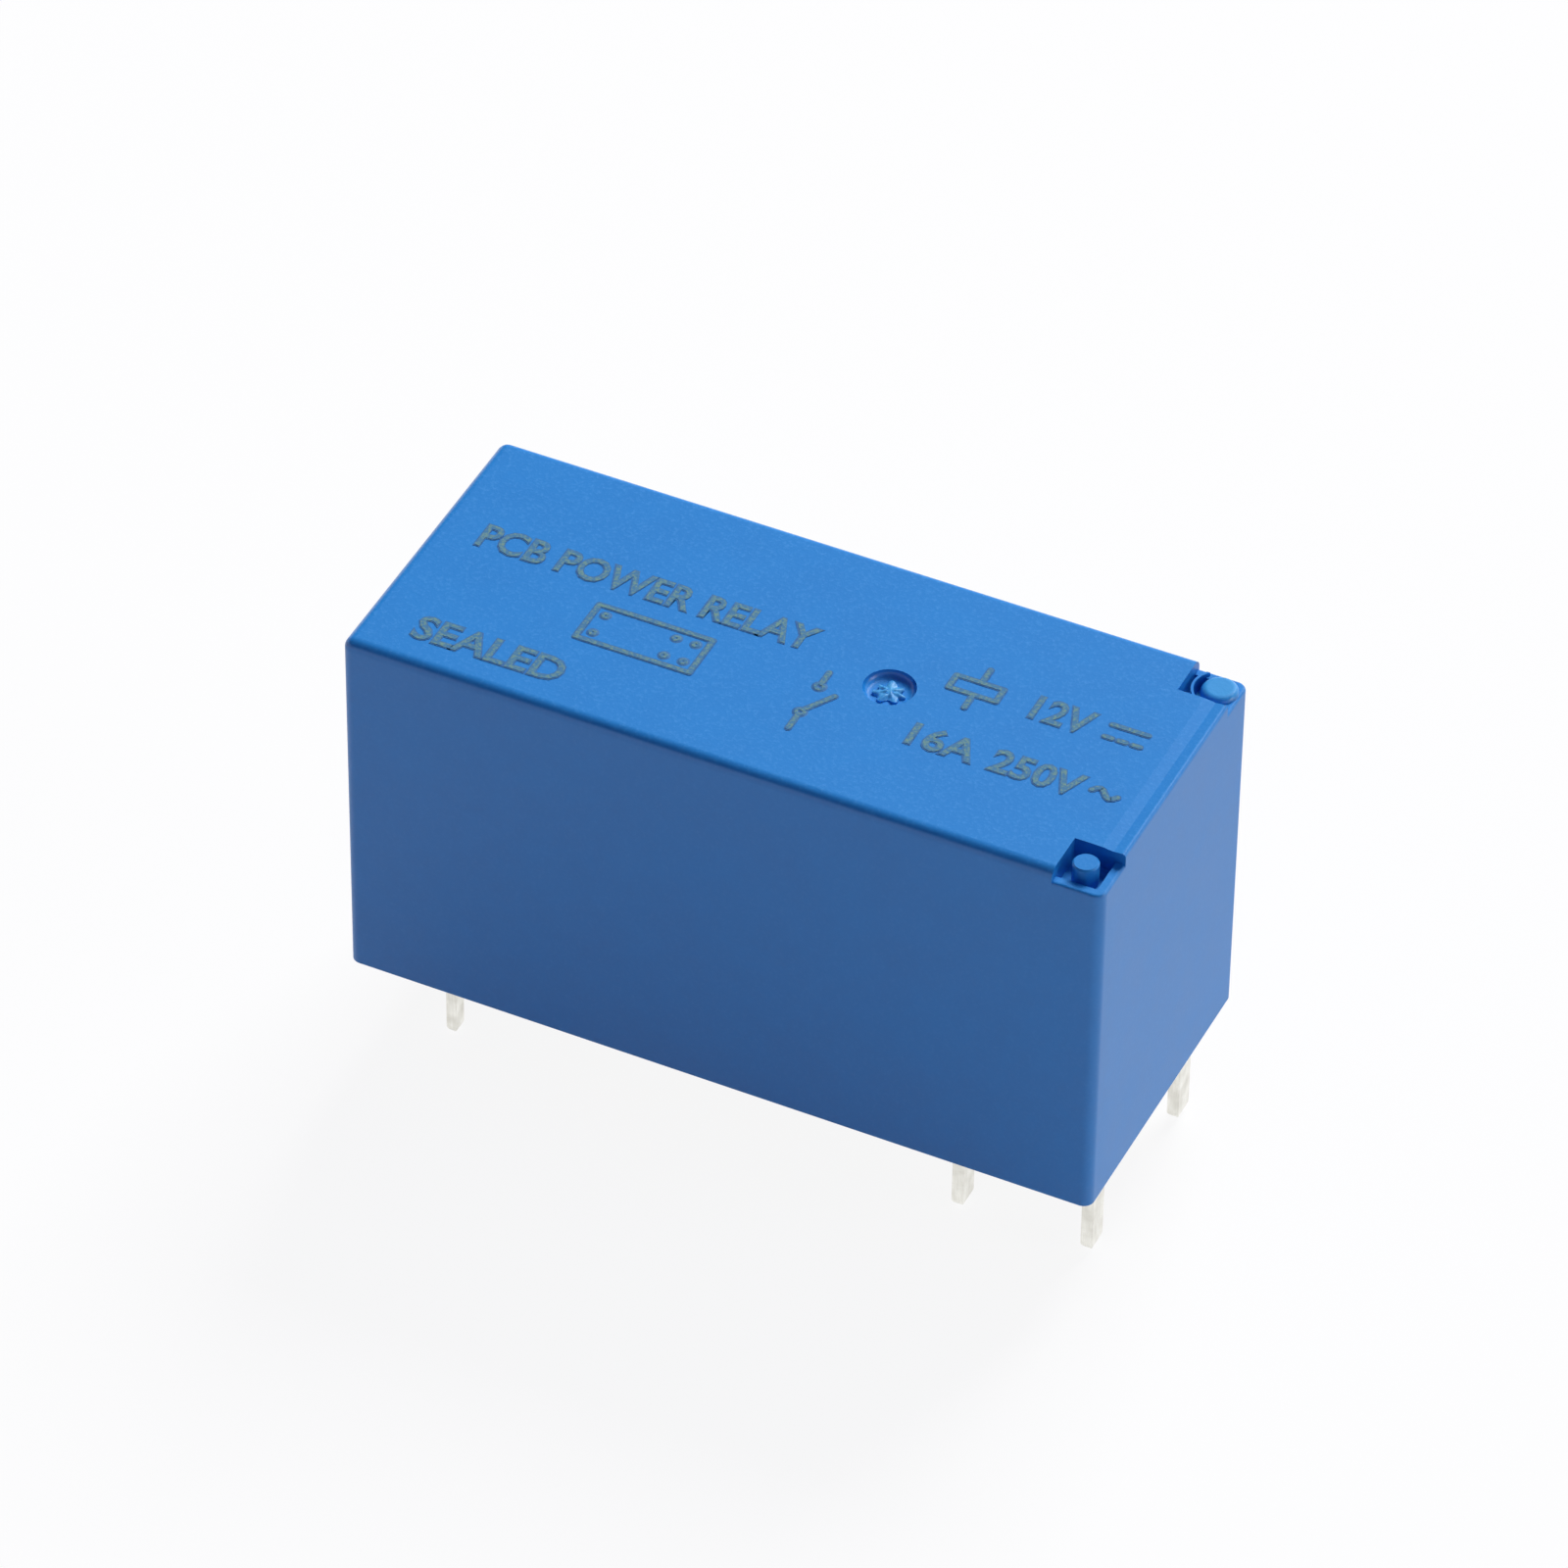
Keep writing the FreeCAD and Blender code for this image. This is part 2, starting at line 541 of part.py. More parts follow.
def make_base():
    """Moulded base: floor plate, barrier wall, yoke rails and seats for the terminals."""
    half_width = INNER_HALF_WIDTH - BASE_FIT
    base = rounded_slab(
        INNER_HALF_LENGTH - BASE_FIT, half_width, INNER_CORNER_RADIUS, BASE_UNDERSIDE, BASE_TOP)
    wall_top = FLANGE_TOP + PIN_SLOT_FIT
    barrier = middle_block(BARRIER_X0, BARRIER_X1, 2 * half_width, BASE_UNDERSIDE, wall_top)
    base = base.fuse(barrier)
    rail_outer = YOKE_WIDTH / 2 - PIN_SLOT_FIT
    for side in (-1, 1):
        rail = side_block(
            side, POLE_FLANGE_X1, YOKE_ARM_X0, rail_outer - RAIL_WIDTH, rail_outer,
            BASE_UNDERSIDE, YOKE_FOOT)
        common_seat = side_block(
            side, BARRIER_X1 - BARRIER_WALL / 2, COMMON_X - CONTACT_STRIP / 2 - PIN_SLOT_FIT,
            RIVET_SPREAD / 2 + RIVET_HEAD_RADIUS + PIN_SLOT_FIT, half_width - BARRIER_RIB_DEPTH,
            BASE_UNDERSIDE, BASE_TOP + SEAT_BLOCK_HEIGHT)
        base = base.fuse(rail).fuse(common_seat)
    seat_x = FIXED_X - CONTACT_STRIP / 2 - PIN_SLOT_FIT
    fixed_seat = middle_block(
        seat_x - SEAT_BLOCK_DEPTH, seat_x, 2 * half_width, BASE_UNDERSIDE,
        BASE_TOP + SEAT_BLOCK_HEIGHT)
    base = base.fuse(fixed_seat)
    for hole in pin_holes(BASE_UNDERSIDE - BEYOND, BASE_TOP, PIN_SLOT_FIT):
        base = base.cut(hole)
    return base.removeSplitter()


def make_yoke():
    """L-shaped iron yoke, with a countersunk hole for the core and a boss for the spring."""
    arm_top = FLANGE_TOP - YOKE_ARM_BELOW_FLANGE
    half = YOKE_THICKNESS / 2
    path = [
        (POLE_FACE_X, YOKE_FOOT + half), (YOKE_ARM_X0 + half, YOKE_FOOT + half),
        (YOKE_ARM_X0 + half, arm_top),
    ]
    yoke = bent_strip(path, YOKE_THICKNESS, YOKE_WIDTH, YOKE_BEND_RADIUS)
    corners = [
        edge for edge in yoke.Edges
        if edge.BoundBox.ZLength < 1e-6 and edge.BoundBox.YLength < 1e-6
        and abs(edge.BoundBox.ZMin - arm_top) < 1e-6
    ]
    yoke = yoke.makeFillet(ARMATURE_CORNER_RADIUS, corners)
    yoke = yoke.cut(turned_along_x(core_rivet_outline(), 0, COIL_AXIS_Z))
    boss = Part.makeCylinder(
        SPRING_BOSS_RADIUS, YOKE_LIFT - SEAT_GAP + half,
        V(POLE_FACE_X + SPRING_BOSS_X_FROM_POLE, 0, BASE_TOP + SEAT_GAP))
    return yoke.fuse(boss).removeSplitter()


def core_rivet_outline():
    """Riveted end of the core inside the yoke arm, as (x, radius) points."""
    return [
        (YOKE_ARM_X0, 0), (YOKE_ARM_X0, CORE_RIVET_RADIUS),
        (YOKE_ARM_X1 - CORE_FLARE_DEPTH, CORE_RIVET_RADIUS),
        (YOKE_ARM_X1, CORE_RIVET_RADIUS + CORE_FLARE), (YOKE_ARM_X1, 0),
    ]


def make_core():
    """Soft-iron core with a wide pole head, riveted into the yoke arm."""
    head_x1 = POLE_FACE_X + POLE_HEAD_THICKNESS
    rivet = core_rivet_outline()
    outline = [
        (POLE_FACE_X, 0), (POLE_FACE_X, POLE_HEAD_RADIUS - WINDING_EDGE / 2),
        (POLE_FACE_X + WINDING_EDGE / 2, POLE_HEAD_RADIUS), (head_x1, POLE_HEAD_RADIUS),
        (head_x1, CORE_RADIUS), (YOKE_ARM_X0, CORE_RADIUS),
    ] + rivet[1:]
    return turned_along_x(outline, 0, COIL_AXIS_Z)


def flange(x0, x1):
    """Rectangular bobbin flange with rounded corners."""
    plate = middle_block(x0, x1, 2 * FLANGE_HALF_WIDTH, FLANGE_FOOT, FLANGE_TOP)
    corners = [
        edge for edge in plate.Edges
        if edge.BoundBox.YLength < 1e-6 and edge.BoundBox.ZLength < 1e-6
    ]
    return plate.makeFillet(FLANGE_CORNER_RADIUS, corners)


def lead_height():
    """Height at which each coil end leaves its terminal for the winding."""
    return COIL_TAIL_TOP - WRAP_BELOW_TIP


def lead_y():
    """Distance of each coil end from the middle plane."""
    return PIN_Y - wrap_radius()


def wrap_radius():
    """Radius of the wire's centre line where it is wound on a terminal's tail."""
    corner = math.hypot(COIL_PIN_THICKNESS, COIL_PIN_WIDTH) / 2
    return corner + WRAP_CLEARANCE + LEAD_DIAMETER / 2


def make_bobbin():
    """Moulded bobbin: tube, two flanges, pin feet, rear feet and card guides."""
    tube_radius = CORE_RADIUS + PIN_SLOT_FIT + BOBBIN_TUBE_WALL
    bobbin = rod_along_x(POLE_FLANGE_X0, YOKE_FLANGE_X1, tube_radius, 0, COIL_AXIS_Z)
    bobbin = bobbin.fuse(flange(POLE_FLANGE_X0, POLE_FLANGE_X1))
    bobbin = bobbin.fuse(flange(YOKE_FLANGE_X0, YOKE_FLANGE_X1))
    lug_y = CARD_WIDTH / 2 + CARD_GUIDE_GAP
    for side in (-1, 1):
        pin_foot = side_block(
            side, COIL_PIN_X - PIN_FOOT_REACH, POLE_FLANGE_X1, FOOT_INNER_Y, PIN_Y + PIN_FOOT_OUTER_MARGIN,
            BASE_TOP, BASE_TOP + PIN_FOOT_HEIGHT)
        rear_foot = side_block(
            side, YOKE_FLANGE_X0, YOKE_FLANGE_X1, FOOT_INNER_Y, REAR_FOOT_OUTER_Y,
            BASE_TOP, COIL_AXIS_Z - FLANGE_HALF_HEIGHT / 2)
        bobbin = bobbin.fuse(pin_foot).fuse(rear_foot)
        for x0, x1 in ((POLE_FLANGE_X0, POLE_FLANGE_X1), (YOKE_FLANGE_X0, YOKE_FLANGE_X1)):
            bobbin = bobbin.fuse(side_block(
                side, x0, x1, lug_y, lug_y + GUIDE_LUG_WIDTH, COIL_AXIS_Z, CARD_Z1))
        margin = LEAD_DIAMETER / 2 + LEAD_SLOT_MARGIN
        bobbin = bobbin.cut(side_block(
            side, POLE_FLANGE_X0 - BEYOND, POLE_FLANGE_X1, lead_y() - margin, HALF_WIDTH,
            lead_height() - margin, lead_height() + margin))
        half_x, half_y = COIL_PIN_THICKNESS / 2, COIL_PIN_WIDTH / 2
        y = side * PIN_Y
        bobbin = bobbin.cut(block(
            COIL_PIN_X - half_x, COIL_PIN_X + half_x, y - half_y, y + half_y, 0, BODY_HEIGHT))
        bobbin = bobbin.cut(Part.makeCylinder(
            wrap_radius() + margin, BODY_HEIGHT, V(COIL_PIN_X, y, BASE_TOP + PIN_FOOT_HEIGHT)))
    bobbin = bobbin.cut(prism_along_y([
        (YOKE_FLANGE_X1 - YOKE_BEND_RADIUS, FLANGE_FOOT), (YOKE_FLANGE_X1, FLANGE_FOOT),
        (YOKE_FLANGE_X1, FLANGE_FOOT + YOKE_BEND_RADIUS)], YOKE_WIDTH))
    bore = rod_along_x(
        POLE_FLANGE_X0 - BEYOND, YOKE_FLANGE_X1 + BEYOND, CORE_RADIUS + PIN_SLOT_FIT, 0, COIL_AXIS_Z)
    head_seat = rod_along_x(
        POLE_FLANGE_X0 - BEYOND, POLE_FACE_X + POLE_HEAD_THICKNESS + PIN_SLOT_FIT,
        POLE_HEAD_RADIUS + PIN_SLOT_FIT, 0, COIL_AXIS_Z)
    return bobbin.cut(bore).cut(head_seat).removeSplitter()


def make_coil_winding():
    """Enamelled wire wound on the bobbin, as one round solid."""
    inner = CORE_RADIUS + PIN_SLOT_FIT + BOBBIN_TUBE_WALL
    x0, x1 = POLE_FLANGE_X1, YOKE_FLANGE_X0
    outline = [
        (x0, inner), (x0, WINDING_RADIUS - WINDING_EDGE), (x0 + WINDING_EDGE, WINDING_RADIUS),
        (x1 - WINDING_EDGE, WINDING_RADIUS), (x1, WINDING_RADIUS - WINDING_EDGE), (x1, inner),
    ]
    return turned_along_x(outline, 0, COIL_AXIS_Z)


def make_coil_terminal(side):
    """Square wire pin with a tail above the bobbin's foot for the coil end."""
    return tapered_pin(
        COIL_PIN_X, side * PIN_Y, COIL_PIN_THICKNESS, COIL_PIN_WIDTH, COIL_TAIL_TOP)


def make_coil_lead(side):
    """Coil end: wire wound on the terminal's tail, then straight to the winding."""
    radius = LEAD_DIAMETER / 2
    y = side * PIN_Y
    height = lead_height()
    start = V(COIL_PIN_X, side * lead_y(), height)
    lead = Part.makeCylinder(radius, POLE_FLANGE_X1 - COIL_PIN_X, start, V(1, 0, 0))
    first = height - (WRAP_TURNS - 1) / 2 * WRAP_PITCH
    sleeve = Part.makeCylinder(
        wrap_radius() + radius / 3, (WRAP_TURNS - 1) * WRAP_PITCH, V(COIL_PIN_X, y, first))
    sleeve = sleeve.cut(Part.makeCylinder(
        wrap_radius() - radius / 3, BODY_HEIGHT, V(COIL_PIN_X, y, 0)))
    lead = lead.fuse(sleeve)
    for turn in range(WRAP_TURNS):
        centre = V(COIL_PIN_X, y, first + turn * WRAP_PITCH)
        lead = lead.fuse(Part.makeTorus(wrap_radius(), radius, centre, V(0, 0, 1)))
    return lead


def armature_at_rest(shape):
    """Turn a piece drawn against the pole face out to its rest angle."""
    shape.rotate(V(HINGE_X, 0, HINGE_Z), V(0, 1, 0), -ARMATURE_STROKE)
    return shape


def make_armature():
    """Flat iron armature with a thinner tongue that carries the card."""
    outer_x = HINGE_X - ARMATURE_THICKNESS
    shoulder = CARD_Z0 - ARMATURE_BELOW_CARD
    plate = middle_block(outer_x, HINGE_X, ARMATURE_WIDTH, HINGE_Z, shoulder)
    corners = [
        edge for edge in plate.Edges
        if edge.BoundBox.YLength < 1e-6 and edge.BoundBox.ZLength < 1e-6
        and edge.BoundBox.ZMin > COIL_AXIS_Z
    ]
    plate = plate.makeFillet(ARMATURE_CORNER_RADIUS, corners)
    tongue = middle_block(
        HINGE_X - TONGUE_THICKNESS, HINGE_X, TONGUE_WIDTH, shoulder - TONGUE_THICKNESS,
        CARD_Z1 + TONGUE_ABOVE_CARD)
    return armature_at_rest(plate.fuse(tongue).removeSplitter())


def rest_face_x(z, depth):
    """X of a face of the armature at rest, at one height and depth behind its inner face."""
    return HINGE_X - (z - HINGE_Z) * math.tan(STROKE) - depth / math.cos(STROKE)


def make_armature_spring():
    """Flat spring under the yoke that holds the armature's foot to the yoke's edge."""
    half = HINGE_SPRING_STRIP / 2
    flat_z = YOKE_FOOT - half
    top_z = HINGE_Z + HINGE_SPRING_RISE
    stand_off = ARMATURE_THICKNESS + (SEAT_GAP + half)
    path = [
        (POLE_FACE_X + HINGE_SPRING_TAIL, flat_z),
        (rest_face_x(flat_z, stand_off), flat_z),
        (rest_face_x(top_z, stand_off), top_z),
        (rest_face_x(top_z, stand_off) - HINGE_SPRING_FLARE, top_z + HINGE_SPRING_FLARE),
    ]
    spring = bent_strip(path, HINGE_SPRING_STRIP, HINGE_SPRING_WIDTH, HINGE_SPRING_STRIP)
    hole = Part.makeCylinder(
        SPRING_BOSS_RADIUS, YOKE_LIFT, V(POLE_FACE_X + SPRING_BOSS_X_FROM_POLE, 0, BASE_TOP))
    return spring.cut(hole)


def make_actuator_card():
    """Moulded card over the coil: a slot for the armature's tongue, one for the leaf's tip."""
    slot_x0 = min(rest_face_x(CARD_Z1, TONGUE_THICKNESS), rest_face_x(CARD_MID, TONGUE_THICKNESS))
    slot_x0 = slot_x0 - CARD_PLAY
    slot_x1 = rest_face_x(CARD_Z0, 0) + CARD_PLAY
    push_x = LEAF_X0 - CARD_PLAY
    end_x = push_x + LEAF_SLOT + CARD_END_BAR
    card = middle_block(slot_x0 - CARD_END_BAR, end_x, CARD_WIDTH, CARD_Z0, CARD_Z1)
    card = card.makeFillet(CARD_END_BAR / 2, upright_edges(card))
    rib = middle_block(
        slot_x1 + CARD_END_BAR, push_x - CARD_END_BAR, CARD_RIB_WIDTH, CARD_MID,
        CARD_Z1 + CARD_RIB_HEIGHT)
    card = card.fuse(rib)
    for side in (-1, 1):
        waist = side_block(
            side, POLE_FLANGE_X1 + BEYOND, YOKE_FLANGE_X0 - BEYOND,
            CARD_WIDTH / 2 - CARD_WAIST, CARD_WIDTH, CARD_Z0 - BEYOND, CARD_Z1 + BEYOND)
        card = card.cut(waist.makeFillet(CARD_WAIST / 2, upright_edges(waist)))
    tongue_slot = middle_block(
        slot_x0, slot_x1, TONGUE_WIDTH + 2 * CARD_PLAY, CARD_Z0 - BEYOND, CARD_Z1 + BEYOND)
    leaf_slot = middle_block(
        push_x, push_x + LEAF_SLOT, LEAF_TIP_WIDTH + 2 * CARD_PLAY, CARD_Z0 - BEYOND,
        CARD_Z1 + BEYOND)
    return card.cut(tongue_slot).cut(leaf_slot).removeSplitter()


def make_common_terminal():
    """Stamped common terminal: an upright plate on two pins, with two rivet holes."""
    x0, x1 = COMMON_X - CONTACT_STRIP / 2, COMMON_X + CONTACT_STRIP / 2
    plate = middle_block(x0, x1, PIN_ROW_SPACING + CONTACT_PIN_WIDTH, BASE_TOP, COMMON_PLATE_TOP)
    for side in (-1, 1):
        pin = tapered_pin(COMMON_X, side * PIN_Y, CONTACT_STRIP, CONTACT_PIN_WIDTH, COMMON_PLATE_TOP / 2)
        plate = plate.fuse(pin)
    for side in (-1, 1):
        plate = plate.cut(rod_along_x(x0, x1, RIVET_SHANK_RADIUS, side * RIVET_SPREAD / 2, rivet_z()))
    return plate.removeSplitter()


def rivet_z():
    """Height of the two rivets that clamp the contact spring."""
    return (BASE_TOP + LEAF_FOOT_LIFT + COMMON_PLATE_TOP) / 2


def make_spring_rivet(side):
    """Rivet through the contact spring's foot and the common terminal."""
    x0 = COMMON_X - CONTACT_STRIP / 2
    outline = [
        (x0 - RIVET_TAIL_THICKNESS, 0), (x0 - RIVET_TAIL_THICKNESS, RIVET_TAIL_RADIUS * 0.8),
        (x0, RIVET_TAIL_RADIUS), (x0, RIVET_SHANK_RADIUS), (LEAF_X1, RIVET_SHANK_RADIUS),
        (LEAF_X1, RIVET_HEAD_RADIUS), (LEAF_X1 + RIVET_HEAD_THICKNESS, RIVET_HEAD_RADIUS * 0.7),
        (LEAF_X1 + RIVET_HEAD_THICKNESS, 0),
    ]
    return turned_along_x(outline, side * RIVET_SPREAD / 2, rivet_z())


def make_moving_spring():
    """Leaf spring with a wide foot, two flexing legs and a narrow tip in the card."""
    foot, waist, tip = LEAF_FOOT_WIDTH / 2, LEAF_WIDTH / 2, LEAF_TIP_WIDTH / 2
    foot_z = BASE_TOP + LEAF_FOOT_LIFT
    waist_z = LEAF_PIVOT_Z + LEAF_FOOT_LIFT
    shoulder_z = CARD_Z0 - LEAF_FOOT_LIFT
    tip_z = CARD_Z1 + LEAF_ABOVE_CARD
    right = [
        (foot, foot_z), (foot, LEAF_PIVOT_Z - LEAF_FOOT_LIFT), (waist, waist_z),
        (waist, shoulder_z - LEAF_FOOT_LIFT), (tip, shoulder_z), (tip, tip_z),
    ]
    left = [(-y, z) for y, z in reversed(right)]
    leaf = prism_along_x(right + left, LEAF_X0, LEAF_X1)
    slot_top = CONTACT_Z - MOVING_HEAD_RADIUS - LEAF_SLOT_BELOW_CONTACT
    slot = middle_block(LEAF_X0, LEAF_X1, LEAF_SLOT_WIDTH, waist_z, slot_top)
    slot_ends = [
        edge for edge in slot.Edges
        if edge.BoundBox.YLength < 1e-6 and edge.BoundBox.ZLength < 1e-6
    ]
    leaf = leaf.cut(slot.makeFillet(LEAF_SLOT_WIDTH / 3, slot_ends))
    leaf = leaf.cut(rod_along_x(LEAF_X0, LEAF_X1, MOVING_SHANK_RADIUS, 0, CONTACT_Z))
    for side in (-1, 1):
        leaf = leaf.cut(rod_along_x(
            LEAF_X0, LEAF_X1, RIVET_SHANK_RADIUS, side * RIVET_SPREAD / 2, rivet_z()))
    return leaf


def make_moving_contact():
    """Silver contact rivet on the leaf, with a domed face."""
    face_x = LEAF_X1 + MOVING_HEAD_THICKNESS
    dome_drop = MOVING_DOME_RADIUS - math.sqrt(MOVING_DOME_RADIUS ** 2 - MOVING_HEAD_RADIUS ** 2)
    outline = [
        (LEAF_X0 - MOVING_TAIL_THICKNESS, 0),
        (LEAF_X0 - MOVING_TAIL_THICKNESS, MOVING_TAIL_RADIUS * 0.8),
        (LEAF_X0, MOVING_TAIL_RADIUS), (LEAF_X0, MOVING_SHANK_RADIUS),
        (LEAF_X1, MOVING_SHANK_RADIUS), (LEAF_X1, MOVING_HEAD_RADIUS),
        (face_x - dome_drop, MOVING_HEAD_RADIUS), (face_x - dome_drop, 0),
    ]
    rivet = turned_along_x(outline, 0, CONTACT_Z)
    dome = Part.makeSphere(MOVING_DOME_RADIUS, V(face_x - MOVING_DOME_RADIUS, 0, CONTACT_Z))
    limit = rod_along_x(face_x - dome_drop, face_x + BEYOND, MOVING_HEAD_RADIUS, 0, CONTACT_Z)
    return rivet.fuse(dome.common(limit)).removeSplitter()


def make_no_terminal():
    """Stamped fixed terminal: two pins, a foot plate and a cranked plate for the contact."""
    foot_top = BASE_TOP + FIXED_FOOT_HEIGHT
    crank_top = foot_top + (FIXED_X - FIXED_PLATE_X)
    path = [
        (FIXED_X, BASE_TOP), (FIXED_X, foot_top), (FIXED_PLATE_X, crank_top),
        (FIXED_PLATE_X, FIXED_PLATE_TOP),
    ]
    terminal = bent_strip(path, CONTACT_STRIP, FIXED_PLATE_WIDTH, FIXED_BEND_RADIUS)
    x0, x1 = FIXED_X - CONTACT_STRIP / 2, FIXED_X + CONTACT_STRIP / 2
    foot = middle_block(
        x0, x1, PIN_ROW_SPACING + CONTACT_PIN_WIDTH, BASE_TOP, foot_top - 2 * FIXED_BEND_RADIUS)
    terminal = terminal.fuse(foot)
    for side in (-1, 1):
        pin = tapered_pin(FIXED_X, side * PIN_Y, CONTACT_STRIP, CONTACT_PIN_WIDTH, foot_top / 2)
        terminal = terminal.fuse(pin)
    hole = rod_along_x(
        FIXED_PLATE_X - CONTACT_STRIP, FIXED_PLATE_X + CONTACT_STRIP, FIXED_SHANK_RADIUS, 0,
        CONTACT_Z)
    return terminal.cut(hole).removeSplitter()


def make_fixed_contact():
    """Silver contact rivet in the fixed terminal, with a flat face."""
    plate_x0 = FIXED_PLATE_X - CONTACT_STRIP / 2
    plate_x1 = FIXED_PLATE_X + CONTACT_STRIP / 2
    edge = FIXED_HEAD_THICKNESS / 4
    outline = [
        (FIXED_FACE_X, 0), (FIXED_FACE_X, FIXED_HEAD_RADIUS - edge),
        (FIXED_FACE_X + edge, FIXED_HEAD_RADIUS), (plate_x0, FIXED_HEAD_RADIUS),
        (plate_x0, FIXED_SHANK_RADIUS), (plate_x1, FIXED_SHANK_RADIUS),
        (plate_x1, FIXED_TAIL_RADIUS),
        (plate_x1 + FIXED_TAIL_THICKNESS, FIXED_TAIL_RADIUS * 0.8),
        (plate_x1 + FIXED_TAIL_THICKNESS, 0),
    ]
    return turned_along_x(outline, 0, CONTACT_Z)


def build():
    """All pieces of the relay by name."""
    pieces = {
        "cover": make_cover(),
        "base": make_base(),
        "sealing_resin": make_sealing_resin(),
        "bobbin": make_bobbin(),
        "coil_winding": make_coil_winding(),
        "core": make_core(),
        "yoke": make_yoke(),
        "armature": make_armature(),
        "armature_spring": make_armature_spring(),
        "actuator_card": make_actuator_card(),
        "common_terminal": make_common_terminal(),
        "moving_spring": make_moving_spring(),
        "moving_contact": make_moving_contact(),
        "no_terminal": make_no_terminal(),
        "fixed_contact": make_fixed_contact(),
    }
    for number, side in enumerate((-1, 1), start=1):
        pieces[f"coil_terminal_{number}"] = make_coil_terminal(side)
        pieces[f"coil_lead_{number}"] = make_coil_lead(side)
        pieces[f"spring_rivet_{number}"] = make_spring_rivet(side)
    return pieces


def main():
    """Write one STEP file for each piece and print the motion that the sizes give."""
    os.makedirs("parts", exist_ok=True)
    for name, shape in build().items():
        shape.exportStep(f"parts/{name}.step")
        print(f"{name}: {len(shape.Solids)} solid, {shape.Volume:.2f} mm3, valid {shape.isValid()}")
    print(f"armature hinge at x {HINGE_X:.3f} z {HINGE_Z:.3f}, stroke {ARMATURE_STROKE} deg")
    print(f"card travel {CARD_TRAVEL:.4f} mm, {CARD_ARM:.4f} mm per radian")
    print(f"leaf pivot x {LEAF_MID:.3f} z {LEAF_PIVOT_Z:.3f}, {math.degrees(LEAF_STROKE):.4f} deg")
    print(f"contact gap at rest {FIXED_FACE_X - LEAF_X1 - MOVING_HEAD_THICKNESS:.3f} mm")


main()
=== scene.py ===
"""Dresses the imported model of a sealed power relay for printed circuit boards.

The frame holds every solid piece at its real size and place. This script gives each piece the
finish of its real material, adds the detail that is too fine for the solids, and sets up the
camera and a plain studio.
"""

import logging
import math
from collections.abc import Callable
from dataclasses import dataclass
from enum import Enum
from typing import Any

import bpy
from mathutils import Matrix, Vector

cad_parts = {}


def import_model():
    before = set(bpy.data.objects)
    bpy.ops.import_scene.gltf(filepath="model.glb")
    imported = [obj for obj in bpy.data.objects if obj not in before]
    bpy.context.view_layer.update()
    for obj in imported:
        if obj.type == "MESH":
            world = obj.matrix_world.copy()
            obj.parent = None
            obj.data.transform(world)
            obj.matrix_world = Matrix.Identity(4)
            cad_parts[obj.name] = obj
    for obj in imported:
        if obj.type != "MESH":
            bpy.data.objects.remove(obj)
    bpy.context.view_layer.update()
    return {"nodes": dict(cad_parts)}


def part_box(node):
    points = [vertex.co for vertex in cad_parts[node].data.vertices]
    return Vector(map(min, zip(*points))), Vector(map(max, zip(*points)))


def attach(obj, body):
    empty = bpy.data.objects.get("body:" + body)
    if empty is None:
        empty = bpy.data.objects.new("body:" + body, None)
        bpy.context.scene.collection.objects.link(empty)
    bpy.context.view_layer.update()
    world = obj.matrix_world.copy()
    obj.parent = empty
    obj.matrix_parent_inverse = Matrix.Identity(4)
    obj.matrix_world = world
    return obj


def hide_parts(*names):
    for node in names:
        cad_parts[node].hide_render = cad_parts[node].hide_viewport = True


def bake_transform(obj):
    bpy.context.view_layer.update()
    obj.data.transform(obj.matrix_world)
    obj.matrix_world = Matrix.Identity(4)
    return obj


MM = 0.001
LOG = logging.getLogger("relay")


class Face(Enum):
    """Which way the grain of a metal strip runs."""

    ALONG_X = (0.08, 1.0, 1.0)
    ALONG_Z = (1.0, 1.0, 0.08)
    EVEN = (1.0, 1.0, 1.0)


def linear(hex_colour: str) -> tuple[float, float, float, float]:
    """Turns an sRGB hex colour into a linear one.

    Args:
        hex_colour: six hex digits, with or without a leading #.

    Returns:
        Red, green, blue and alpha, linear.
    """
    digits = hex_colour.lstrip("#")
    values = []
    for start in (0, 2, 4):
        part = int(digits[start:start + 2], 16) / 255
        if part <= 0.04045:
            values.append(part / 12.92)
        else:
            values.append(((part + 0.055) / 1.055) ** 2.4)
    return values[0], values[1], values[2], 1.0


def add_node(
    tree: bpy.types.NodeTree,
    kind: str,
    settings: dict[Any, Any] | None = None,
    links: dict[Any, tuple[bpy.types.Node, Any]] | None = None,
) -> bpy.types.Node:
    """Adds a node with its settings and links.

    Args:
        tree: the node tree that gets the node.
        kind: the node's type name.
        settings: a value for each input socket or property; stops fills a colour ramp.
        links: for each input socket, the node and the output that feed it.

    Returns:
        The new node.
    """
    node = tree.nodes.new(kind)
    for key, value in (settings or {}).items():
        if key == "stops":
            ramp = node.color_ramp
            while len(ramp.elements) < len(value):
                ramp.elements.new(0.5)
            for element, (place, colour) in zip(ramp.elements, value):
                element.position = place
                element.color = colour
        elif isinstance(key, int) or key in node.inputs:
            node.inputs[key].default_value = value
        else:
            setattr(node, key, value)
    for key, (source, output) in (links or {}).items():
        tree.links.new(source.outputs[output], node.inputs[key])
    return node


def new_material(name: str) -> tuple[bpy.types.Material, bpy.types.NodeTree]:
    """Starts an empty node material.

    Args:
        name: the material's name.

    Returns:
        The material and its node tree.
    """
    material = bpy.data.materials.new(name)
    material.use_nodes = True
    material.node_tree.nodes.clear()
    return material, material.node_tree


def grey(value: float) -> tuple[float, float, float, float]:
    """Returns a linear grey."""
    return value, value, value, 1.0


